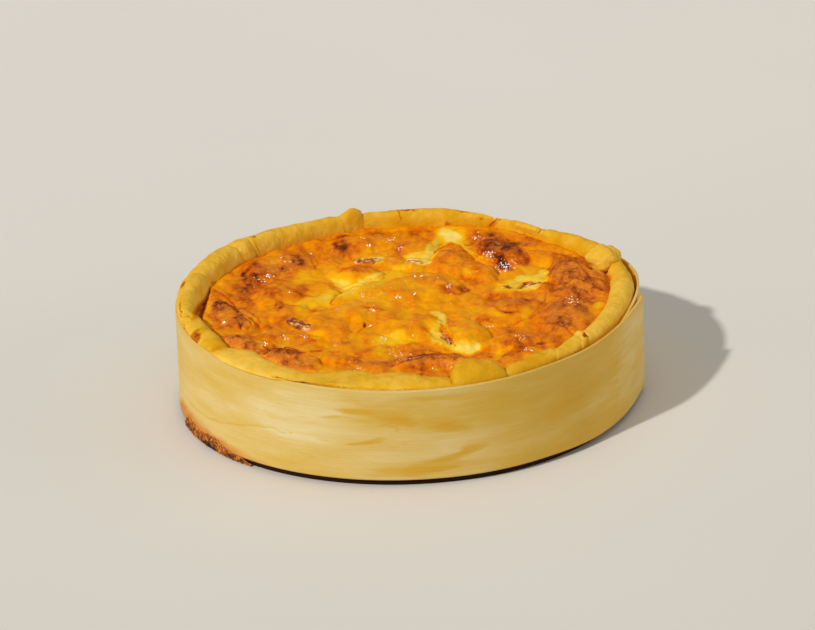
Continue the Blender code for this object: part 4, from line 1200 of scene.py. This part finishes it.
def crust_baked_and_painted_light(points, angle, share, dip):
    """How far each point of the rolled rim is baked, with painted shade along folds and painted light on
    the left rolls' inner sides, and how far it is glazed.
    """
    turned = angle % 360
    lip = window(214, 220, 274, 280, turned)
    baked = 0.42 + 0.08 * noise_at(*points.T, 12, 4, 2) + 0.05 * noise_at(*points.T, 3, 6, 2)
    baked -= lip * (0.04 + 0.13 * (1 - smooth(232, 250, turned)))
    # The left rolls are paler dough, and their inner sides, which turn away from the key light, are painted
    # lighter: painted light on the shaded side
    baked -= window(134, 146, 208, 216, turned) * (0.07 + 0.06 * smooth(0.4, 0.8, share))
    baked -= 0.12 * smooth(302, 316, turned) + 0.09 * smooth(2, 20, 20 - turned)
    baked -= 0.07 * window(110, 120, 136, 146, turned)
    baked += 0.22 * np.clip(dip / 1.5, 0, 1) ** 2
    seen = seen_at(points + 0.5 * noise_at(*points.T, 2, 7, 2)[:, None])
    for mark in RIM_MARKS:
        baked = covered(baked, mark, *seen)
    baked = drawn_over(baked, RIM_LINES, 0.9, *seen)
    return np.clip(baked, 0, 1), 0.85 * window(20, 30, 100, 112, turned)


def case_rings(angle, roll):
    """Rings of the case below the rolled rim, outside and then inside."""
    overhang = smooth(0, OVERHANG_FULL, -rim_at(angle - 0.5 * slant_at(angle))[3])
    shoulder = ROLL_SHOULDER + (OVERHANG_SHOULDER - ROLL_SHOULDER) * overhang
    outside = []
    for height in CASE_HEIGHTS:
        inset = CASE_FOOT_INSET * max(0, 1 - height / CASE_FOOT_HEIGHT) ** 2
        outside.append(polar(case_radius(angle, height) - inset, angle, height))
    outside.append(polar(case_radius(angle, shoulder), angle, shoulder))
    inner = np.hypot(roll[-1][:, 0], roll[-1][:, 1])
    low = case_radius(angle, WALL_LOW) - CASE_WALL
    inside = [
        polar(inner + ROLL_UNDERCUT, angle, ROLL_INSIDE_LOW),
        polar(low, angle, WALL_LOW),
        polar(low - FLOOR_CORNER, angle, CASE_FLOOR),
    ]
    return outside, inside


def make_crust(material):
    count = RIM_STATIONS
    angle = np.arange(count) * 360 / count
    grid_share, grid_angle = np.meshgrid(np.linspace(0, 1, ROLL_POINTS), angle, indexing="ij")
    roll, dip = roll_surface(grid_angle, grid_share)
    outside, inside = case_rings(angle, roll)
    rings = outside + list(roll) + inside
    points = np.concatenate(rings + [[(0, 0, 0), (0, 0, CASE_FLOOR)]])
    faces = closed_faces(len(rings), count)
    start = len(outside) * count
    stop = start + ROLL_POINTS * count
    baked = np.full(len(points), 0.45)
    glaze = np.zeros(len(points))
    baked[start:stop], glaze[start:stop] = crust_baked_and_painted_light(
        points[start:stop], grid_angle.ravel(), grid_share.ravel(), dip.ravel())
    # The case's foot, in the recess under the strip, is painted almost black: partly its darker baked
    # underside, partly painted shade in the recess
    baked[:start] += 0.8 * (1 - smooth(2.5, 6, points[:start, 2]))
    for lump in LUMPS:
        lump_points, lump_faces = lump_surface(*lump)
        faces += [[len(points) + corner for corner in face] for face in lump_faces]
        points = np.concatenate([points, lump_points])
        baked = np.concatenate([baked, 0.3 + 0.06 * noise_at(*lump_points.T, 5, 8, 2)])
    values = {"baked": baked, "glaze": extended(glaze, len(points) - len(glaze), 0)}
    make_piece("pastry_case", points, faces, material, ("crust",), values)


# Custard

# How baked the skin is before its patches are laid on, and how baked the hidden sides are
SKIN_BAKED = 0.54
HIDDEN_BAKED = 0.3

# Wrinkles of the skin: size in millimetres, and how narrow their crests are
WRINKLE_SIZE = 5
WRINKLE_SHARPNESS = 8


def plan_reach(x, y, oval):
    """Squared distance from an oval in plan, whose row holds a name, middle, half sizes and turn."""
    return oval_reach(x - oval[1], y - oval[2], *oval[3:6])


def custard_height(x, y):
    """Height over the custard's base of lobes that meet in creases, with low pale places."""
    total = np.zeros(np.shape(x))
    for lobe in LOBES:
        cover = np.clip(1 - plan_reach(x, y, lobe), 0, 1)
        total += (lobe[6] * cover ** LOBE_FULLNESS) ** CREASE_SHARPNESS
    height = total ** (1 / CREASE_SHARPNESS)
    for valley in VALLEYS:
        height -= valley[6] * np.clip(1 - plan_reach(x, y, valley), 0, 1)
    return height


def amount_of(table, x, y):
    """The strongest of a table's ovals at each point, fading towards their edges."""
    return np.max([oval[6] * smooth(0, 0.7, 1 - plan_reach(x, y, oval)) for oval in table], axis=0)


def jittered(x, y, size, strength, layer):
    """The places x, y moved about by noise, so that what is drawn there has uneven edges."""
    return (x + strength * noise_at(x, y, 0, size, layer, 2),
            y + strength * noise_at(x, y, 0, size, layer + 1, 2))


def seen_jittered(x, y, height, size, strength, layer):
    """Where jittered places of the skin show in the photograph."""
    return seen_at(np.stack([*jittered(x, y, size, strength, layer), height], axis=-1))


def skin_wrinkles(x, y, height):
    return ridged(noise_at(x, 0.7 * y, height, WRINKLE_SIZE, 28, 2)) ** WRINKLE_SHARPNESS


def custard_baked_and_painted_light(x, y, height, dry):
    """How far each point of the custard's top is baked, from cream at 0 to burnt at 1, with painted shade
    in gaps, slits and holes and painted light in a few places.
    """
    seen = seen_jittered(*jittered(x, y, 7, 1.9, 20), height, 2.2, 0.9, 22)
    baked = SKIN_BAKED + 0.08 * noise_at(x, y, 0, 15, 24, 2)
    for patch in BAKED_AND_PAINTED_LIGHT:
        baked = covered(baked, patch, *seen)
    busy = smooth(0.12, 0.4, baked)
    baked += busy * (0.16 * noise_at(x, 0.6 * y, 0, 6, 25, 3) + 0.09 * noise_at(x, 0.8 * y, 0, 9, 30))
    baked += (0.1 + 0.9 * busy) * 0.06 * noise_at(x, 0.6 * y, 0, 2.6, 26, 2)
    baked += busy * (0.04 + 0.12 * dry) * (skin_wrinkles(x, y, height) - 0.2)
    baked = drawn_over(baked, LINES, 0.9, *seen_jittered(x, y, height, 3, 0.5, 27))
    baked += 0.015 * smooth(0.5, 0.72, baked)
    return np.clip(baked, 0, 1)


def custard_relief(x, y, height, baked, dry, wet):
    """Fine relief of the skin: soft bumps, wrinkles where it is dry, folds and cracks."""
    busy = smooth(0.1, 0.36, baked)
    relief = (0.5 + 0.6 * busy) * noise_at(x, 0.8 * y, 0, 9, 30)
    relief += (0.1 + 0.34 * busy) * noise_at(x, 0.8 * y, 0, 4.4, 31)
    relief += 0.14 * busy * noise_at(x, 0.8 * y, 0, 2, 32)
    relief += (0.14 * busy + 0.3 * dry) * skin_wrinkles(x, y, height)
    thick = ridged(noise_at(x, 0.8 * y, 0, 6, 33, 2)) ** 3
    relief += dry * (0.7 * thick - 0.3) + 0.12 * dry * noise_at(x, y, 0, 1.6, 34, 2)
    relief += wet * 0.1 * noise_at(x, y, 0, 1.6, 35)
    seen = seen_jittered(x, y, height, 3, 0.5, 27)
    for line in LINES:
        relief -= line[4] * line_cover(*seen, line, 1.5)
    return relief


def even_edge(angle):
    """Inner edge of the rim, evened out over a few degrees."""
    return np.mean([rim_at(angle + slip + 0.5 * slant_at(angle))[0] for slip in EDGE_SLIPS], axis=0)


def custard_level(x, y, angle, inside):
    """Height of the custard's top without its fine relief, and how much of that relief it takes."""
    lobes = custard_height(*jittered(*jittered(x, y, 12, 2.6, 40), 4, 0.8, 42))
    rise = straight_rows(EDGE_RISE, angle) * np.clip(1 - (inside / EDGE_REACH) ** 2, 0, 1)
    low = np.minimum(lobes, 0)
    high = (np.maximum(lobes, 0) ** EDGE_BLEND + rise ** EDGE_BLEND) ** (1 / EDGE_BLEND)
    fade = EDGE_LOW + (1 - EDGE_LOW) * smooth(-0.4, CUSTARD_EDGE_FADE, inside)
    return CUSTARD_BASE + (low + high) * fade, 0.35 + 0.65 * fade


def custard_plan():
    """Directions and radii of a square grid drawn out to the rim's inner edge, and the edge there."""
    steps = np.linspace(-1, 1, CUSTARD_CELLS + 1)
    u, v = np.meshgrid(steps, steps, indexing="ij")
    x = u * np.sqrt(1 - 0.5 * v * v)
    y = v * np.sqrt(1 - 0.5 * u * u)
    angle = np.degrees(np.arctan2(y, x))
    reach = np.hypot(x, y)
    edge = rim_at(angle + 0.5 * slant_at(angle))[0] + CUSTARD_TUCK
    even = even_edge(angle)
    radius = reach * (even + CUSTARD_TUCK) + (edge - even - CUSTARD_TUCK) * reach ** EDGE_HOLD
    return angle, radius, edge, even


def custard_skin():
    """Points of the custard's top over its grid, and how baked, dry and wet they are."""
    angle, radius, edge, even = custard_plan()
    x = radius * np.cos(np.radians(angle))
    y = radius * np.sin(np.radians(angle))
    soft = jittered(x, y, 6, 2, 44)
    dry = amount_of(DRY, *soft)
    wet = amount_of(WET, *soft)
    level, share = custard_level(x, y, angle, even - radius)
    baked = custard_baked_and_painted_light(x, y, level, dry)
    top = level + share * custard_relief(x, y, level, baked, dry, wet)
    points = np.stack([x, y, top], axis=-1).reshape(-1, 3)
    return points, angle, edge, {"baked": baked, "dry": dry, "wet": wet}


def make_custard(material):
    """Makes the custard, and returns the points of its top and how far they are baked."""
    skin, angle, edge, values = custard_skin()
    index = ring_rows(CUSTARD_CELLS + 1, CUSTARD_CELLS + 1)
    quads = np.stack([index[:-1, :-1], index[1:, :-1], index[1:, 1:], index[:-1, 1:]], axis=-1)
    border = np.concatenate([index[-1, :-1], index[:0:-1, -1], index[0, :0:-1], index[:-1, 0]])
    angle = angle.ravel()[border]
    inner = edge.ravel()[border] - CUSTARD_TUCK
    low = case_radius(angle, WALL_LOW) - CASE_WALL - GAP
    sides = [
        polar(inner + ROLL_UNDERCUT - GAP, angle, ROLL_INSIDE_LOW),
        polar(low, angle, WALL_LOW),
        polar(low - FLOOR_CORNER, angle, CASE_FLOOR + GAP),
    ]
    rows = np.vstack([border, ring_rows(len(sides), len(border), len(skin))])
    points = np.concatenate([skin] + sides + [[(0, 0, CASE_FLOOR + GAP)]])
    faces = quads.reshape(-1, 4).tolist() + turned_faces(rows) + fan_faces(rows[-1], len(points) - 1, True)
    rest = len(points) - len(skin)
    fills = {"baked": HIDDEN_BAKED, "dry": 0, "wet": 0}
    fields = {key: extended(values[key], rest, fill) for key, fill in fills.items()}
    make_piece("custard_top", points, faces, material, ("custard",), fields)
    return skin, values["baked"].ravel()


def bead_template():
    """Points and faces of a small upright dome."""
    dome = ball_points(0.5 * math.pi * np.arange(1, BEAD_RINGS + 1) / BEAD_RINGS, BEAD_SIDES)
    rows = ring_rows(BEAD_RINGS, BEAD_SIDES, 1)
    faces = fan_faces(rows[0], 0) + turned_faces(rows) + [rows[-1][::-1].tolist()]
    return np.concatenate([[(0, 0, 1)], dome.reshape(-1, 3)]), faces


def bead_turn(draw):
    """A turn that leans a bead to the front left, within a few degrees, like the slope of a bubble."""
    lean = math.radians(BEAD_LEAN + draw.normal() * BEAD_SPREAD)
    way = math.radians(BEAD_WAY + draw.normal() * BEAD_SPREAD)
    return np.array(Matrix.Rotation(way, 3, "Z") @ Matrix.Rotation(lean, 3, "Y"))


def make_glints(top, baked, material):
    """Small glossy beads of fat lying on the custard's skin."""
    draw = np.random.default_rng(BEAD_SEED)
    shape, shape_faces = bead_template()
    seen_x, seen_y = seen_at(top)
    points, faces, tones = [], [], []
    for _, x, y, spread, count, size in GLINTS:
        for _ in range(round(BEAD_MORE * count)):
            bead_x = x + draw.normal() * spread * BEAD_SCATTER
            bead_y = y + draw.normal() * spread * BEAD_SCATTER_UP
            radius = BEAD_SIZE * size * draw.uniform(0.5, 1)
            turn = bead_turn(draw)
            away = (seen_x - bead_x) ** 2 + (seen_y - bead_y) ** 2
            near = int(np.argmin(away + BEAD_NEARER * top[:, 1]))
            if np.hypot(*top[near, :2]) > BEAD_REACH:
                continue
            bead = shape * np.array([radius, radius * draw.uniform(0.8, 1.1), radius * BEAD_FLATNESS])
            first = len(shape) * len(points)
            points.append(bead @ turn.T + top[near] + np.array([0, 0, BEAD_RAISE * radius]))
            faces += [[first + corner for corner in face] for face in shape_faces]
            tones.append(np.full(len(shape), baked[near]))
    values = {"baked": np.concatenate(tones)}
    make_piece("fat_beads", np.concatenate(points), faces, material, (), values)


# Bacon

# Width of a bit at its tips and how much it gains at its middle, as shares, its bend as a share of
# its length, and how square its section is, where 1 is an ellipse
BACON_TIP = 0.55
BACON_SWELL = 0.45
BACON_BEND = 0.08
BACON_BLUNT = 0.7


def level_at(top, x, y):
    """Height of the custard's skin at a place in plan."""
    return float(top[np.argmin((top[:, 0] - x) ** 2 + (top[:, 1] - y) ** 2), 2])


def blunt(value):
    """A sine or cosine drawn out towards plus and minus 1, for a section with blunt corners."""
    return np.sign(value) * np.abs(value) ** BACON_BLUNT


def make_bacon(index, top, material):
    x, y, length, width, thick, turn, paleness = BACON[index]
    way = np.array([math.cos(math.radians(turn)), math.sin(math.radians(turn))])
    share, side = np.meshgrid(np.linspace(0, 1, BACON_SECTIONS), np.arange(BACON_SIDES) / BACON_SIDES,
                              indexing="ij")
    taper = BACON_TIP + BACON_SWELL * np.sin(math.pi * share) ** 0.5
    around = 2 * math.pi * side
    along = (share - 0.5) * length
    bend = BACON_BEND * length * np.cos(math.pi * (share - 0.5)) * math.sin(index + 1)
    across = 0.5 * width * taper * blunt(np.cos(around))
    up = 0.5 * thick * taper * blunt(np.sin(around))
    rough = noise_at(along, across, up, 3, 50 + index, 3)
    strand = noise_at(0.2 * along, across, up, 1.3, 70 + index, 2)
    across = across * (1 + 0.16 * rough) + bend
    up = up * (1 + 0.1 * rough) + 0.6 * strand + 0.4 * noise_at(along, across, up, 2.2, 60 + index)
    levels = [level_at(top, *(np.array([x, y]) + part * length * way)) for part in (-0.4, 0, 0.4)]
    base = np.interp(share, (0.1, 0.5, 0.9), levels) - BACON_SINK * thick
    points = np.stack([
        x + along * way[0] - across * way[1],
        y + along * way[1] + across * way[0],
        base + up,
    ], axis=-1).reshape(-1, 3)
    fat = np.clip(paleness + 0.7 * strand + 0.25 * rough, 0, 1)
    make_piece("bacon_%d" % (index + 1), with_centres(points, BACON_SIDES),
               closed_faces(BACON_SECTIONS, BACON_SIDES), material,
               ("lardon_%d" % (index + 1),), {"fat": extended(fat, 2, 0)})


# Strip

# How amber the strip is, and how much more so on its right side, which rises and falls between four angles:
# partly the wood's own tone, partly painted shade on the side turned away from the key light
VENEER_TONE = 0.34
AMBER_AND_SHADE_MORE = 0.2
AMBER_AND_SHADE_SIDE = (274, 306, 326, 350)

# Angles between which stains, the painted highlight and scorch rise and fall, how far a patch's edge strays
# in pixels, and how strong the scorch is and over how many millimetres it fades
MARKED_SIDE = (176, 190, 344, 354)
PATCH_STRAY = (9, 2.2)
SCORCH_MOST = 0.95
SCORCH_FADE = 5.5

# The spill's uneven top and least height, size of its crumbs, and how baked it is off its black part
SPILL_RAGGED = 0.8
SPILL_LEAST = 0.5
CRUMB_SIZE = 1.7
SPILL_BAKED = 0.46


def strip_face(angle, height):
    """Radius of the strip's outer face."""
    lap_end = STRIP_START + 360
    lift = (STRIP_THICK + GAP) * smooth(lap_end - LAP_RAMP, lap_end - 1, angle)
    flare = FLARE * smooth(FLARE_START, STRIP_END, angle)
    return strip_outline(angle) + strip_lean(angle, height) + lift + flare


def strip_tone(points, angle, level):
    """How amber the strip is at each point, with painted shade and painted highlights among its stains, and
    how scorched.
    """
    turned = angle % 360
    along = ARC * (angle - 360)
    tone = VENEER_TONE + 0.12 * noise_at(along, 6 * level, 0, 45, 82, 2)
    # Painted shade and the wood's amber on the right side
    tone += AMBER_AND_SHADE_MORE * window(*AMBER_AND_SHADE_SIDE, turned)
    seen_x, seen_y = seen_at(points)
    seen_x = seen_x + PATCH_STRAY[0] * noise_at(along, 7 * level, 0, 22, 83, 4)
    seen_y = seen_y + PATCH_STRAY[1] * noise_at(along, 7 * level, 0, 22, 84, 4)
    stained_shaded_and_lit = tone
    streaks = np.clip(0.85 + 0.4 * noise_at(along, 10 * level, 0, 34, 87, 3), 0.2, 1)
    for strip_patch in STAINS_AND_HIGHLIGHT:
        stained_shaded_and_lit = stained_shaded_and_lit + (covered(stained_shaded_and_lit, strip_patch, seen_x, seen_y) - stained_shaded_and_lit) * streaks
    seen = seen_at(points + 0.4 * noise_at(along, level, 0, 5, 85, 2)[:, None])
    stained_shaded_and_lit = drawn_over(stained_shaded_and_lit, STRIP_LINES, 0.6, *seen)
    reach = straight_rows(SCORCH_TOP, turned) + 0.9 * noise_at(along, 3 * level, 0, 6, 86, 3)
    front = window(*MARKED_SIDE, turned)
    scorch = SCORCH_MOST * smooth(0, SCORCH_FADE, reach - level)
    return np.clip(tone + (stained_shaded_and_lit - tone) * front, 0, 1), scorch * front


def strip_columns(angle):
    """Rows of points along the strip, up its outer face and down its inner one, and their levels."""
    sink = swell(*STRIP_BACK_SINK, angle)
    ragged = 0.12 * noise_at(angle, 0, 0, 1.6, 80, 2)
    ragged -= START_DROP * (1 - smooth(STRIP_START + 10, START_DROP_END, angle))
    columns, levels = [], []
    for up in np.linspace(0, 1, STRIP_ROWS):
        level = STRIP_FOOT + STRIP_HEIGHT * up
        wobble = 0.12 * noise_at(angle * 1.7, level, 0, 30, 81)
        columns.append(polar(strip_face(angle, level) + wobble, angle, level - sink + ragged * up ** 8))
        levels.append(level)
    foot, top = columns[0][:, 2], columns[-1][:, 2]
    for level, inset, height in (
            (STRIP_TOP, STRIP_CHAMFER, top + STRIP_CROWN),
            (STRIP_TOP, STRIP_THICK - STRIP_CHAMFER, top + STRIP_CROWN),
            (STRIP_TOP, STRIP_THICK, top),
            (STRIP_FOOT, STRIP_THICK, foot)):
        columns.append(polar(strip_face(angle, level) - inset, angle, height))
        levels.append(level)
    return columns, levels


def make_strip(material):
    angle = np.linspace(STRIP_START, STRIP_END, STRIP_STEPS + 1)
    columns, levels = strip_columns(angle)
    rows, sides = len(angle), len(columns)
    points = np.stack(columns, axis=1).reshape(-1, 3)
    faces = turned_faces(ring_rows(rows, sides)) + end_faces(rows, sides)
    turned = np.repeat(angle, sides)
    level = np.tile(levels, rows)
    tone, scorch = strip_tone(points, turned, level)
    # The inner face is painted deep amber: painted shade, with fat soaked in
    inner = np.tile(np.arange(sides) >= sides - 2, rows)
    values = {
        "strip": np.stack([turned * ARC, level, np.zeros(len(level))], axis=-1),
        "tone": np.where(inner, np.maximum(tone, INNER_SHADE_AND_FAT), tone),
        "scorch": scorch,
    }
    make_piece("poplar_strip", points, faces, material, ("band",), values)


def make_spill(material):
    angle, around = np.meshgrid(np.linspace(SPILL_TOP[0][0], SPILL_TOP[-1][0], SPILL_STEPS),
                                np.linspace(0, 1, SPILL_SIDES), indexing="ij")
    uneven = SPILL_RAGGED * noise_at(ARC * angle, 0, 0, 2.2, 91, 2)
    height = np.maximum(straight_rows(SPILL_TOP, angle) + uneven, SPILL_LEAST)
    turn = 2 * math.pi * around
    out = 0.5 - 0.5 * np.cos(turn)
    up = 0.5 - 0.5 * np.sin(turn)
    level = SPILL_LIFT + up * height
    face = strip_outline(angle) + strip_lean(angle, np.maximum(level, STRIP_FOOT)) - SPILL_BEDDING
    lumps = noise_at(ARC * angle, level, 3 * out, CRUMB_SIZE, 90, 3)
    proud = np.maximum(out * SPILL_DEPTH * (1 + 0.9 * lumps) * np.clip(height / 3, 0.3, 1), 0)
    points = polar(face + proud, angle, level + 0.3 * up * lumps).reshape(-1, 3)
    points[:, 2] = np.maximum(points[:, 2], SPILL_LOWEST)
    faces = ring_faces(ring_rows(SPILL_STEPS, SPILL_SIDES)).tolist() + end_faces(SPILL_STEPS, SPILL_SIDES)
    seen_x, seen_y = seen_at(points)
    black_x, black_y, *oval = SPILL_BLACK
    black = smooth(0, 1, 1 - oval_reach(seen_x - black_x, black_y - seen_y, *oval))
    baked = SPILL_BAKED + 0.6 * black - 0.5 * np.clip(lumps.ravel(), -0.6, 0.6)
    baked -= 0.2 * smooth(0.7, 1, up.ravel())
    make_piece("burnt_crumbs", points, faces, material, ("burnt_spill",),
               {"baked": np.clip(baked, 0, 1)})


# Stage

def make_floor():
    mesh = bpy.data.meshes.new("floor")
    half = FLOOR_HALF
    corners = [(-half, -half, 0.0), (half, -half, 0.0), (half, half, 0.0), (-half, half, 0.0)]
    mesh.from_pydata(corners, [], [(0, 1, 2, 3)])
    mesh.materials.append(floor_material())
    show("floor", mesh)


def make_camera():
    lens = bpy.data.cameras.new("camera")
    lens.lens = CAMERA_LENS
    lens.sensor_width = CAMERA_SENSOR
    lens.sensor_fit = "HORIZONTAL"
    lens.clip_end = CAMERA_FAR
    camera = show("camera", lens)
    tilt = Matrix.Rotation(math.radians(90 - CAMERA_PITCH), 4, "X")
    roll = Matrix.Rotation(math.radians(CAMERA_ROLL), 4, "Z")
    camera.matrix_world = Matrix.Translation(CAMERA_PLACE) @ tilt @ roll
    bpy.context.scene.camera = camera


def make_lamp(name, kind, energy, colour, place, target):
    """A lamp at a place in metres, aimed at a target."""
    light = bpy.data.lights.new(name, kind)
    light.energy = energy
    light.color = colour
    lamp = show(name, light)
    lamp.location = place
    lamp.rotation_euler = (Vector(place) - Vector(target)).to_track_quat("Z", "Y").to_euler()
    return light


def make_lights():
    scene = bpy.context.scene
    world = bpy.data.worlds.new("studio")
    world.use_nodes = True
    back = world.node_tree.nodes["Background"]
    back.inputs["Color"].default_value = (*FILL_COLOUR, 1)
    back.inputs["Strength"].default_value = WORLD_STRENGTH
    scene.world = world
    turn = math.radians(KEY_AZIMUTH)
    rise = math.radians(KEY_ELEVATION)
    place = (KEY_AWAY * math.cos(turn) * math.cos(rise), KEY_AWAY * math.sin(turn) * math.cos(rise),
             KEY_AWAY * math.sin(rise))
    key = make_lamp("key", "SUN", KEY_STRENGTH, KEY_COLOUR, place, (0, 0, 0))
    key.angle = math.radians(KEY_ANGLE)
    for name, power, size, place in PANELS:
        make_lamp(name, "AREA", power, FILL_COLOUR, place, PANEL_TARGET).size = size
    scene.view_settings.view_transform = "Standard"
    scene.view_settings.look = "None"


def make_all():
    make_camera()
    make_lights()
    make_floor()
    make_crust(crust_material())
    top, baked = make_custard(custard_material())
    make_glints(top, baked, fat_and_glint_material())
    bacon = bacon_material()
    for index in range(len(BACON)):
        make_bacon(index, top, bacon)
    make_strip(veneer_material())
    make_spill(burnt_material())


make_all()
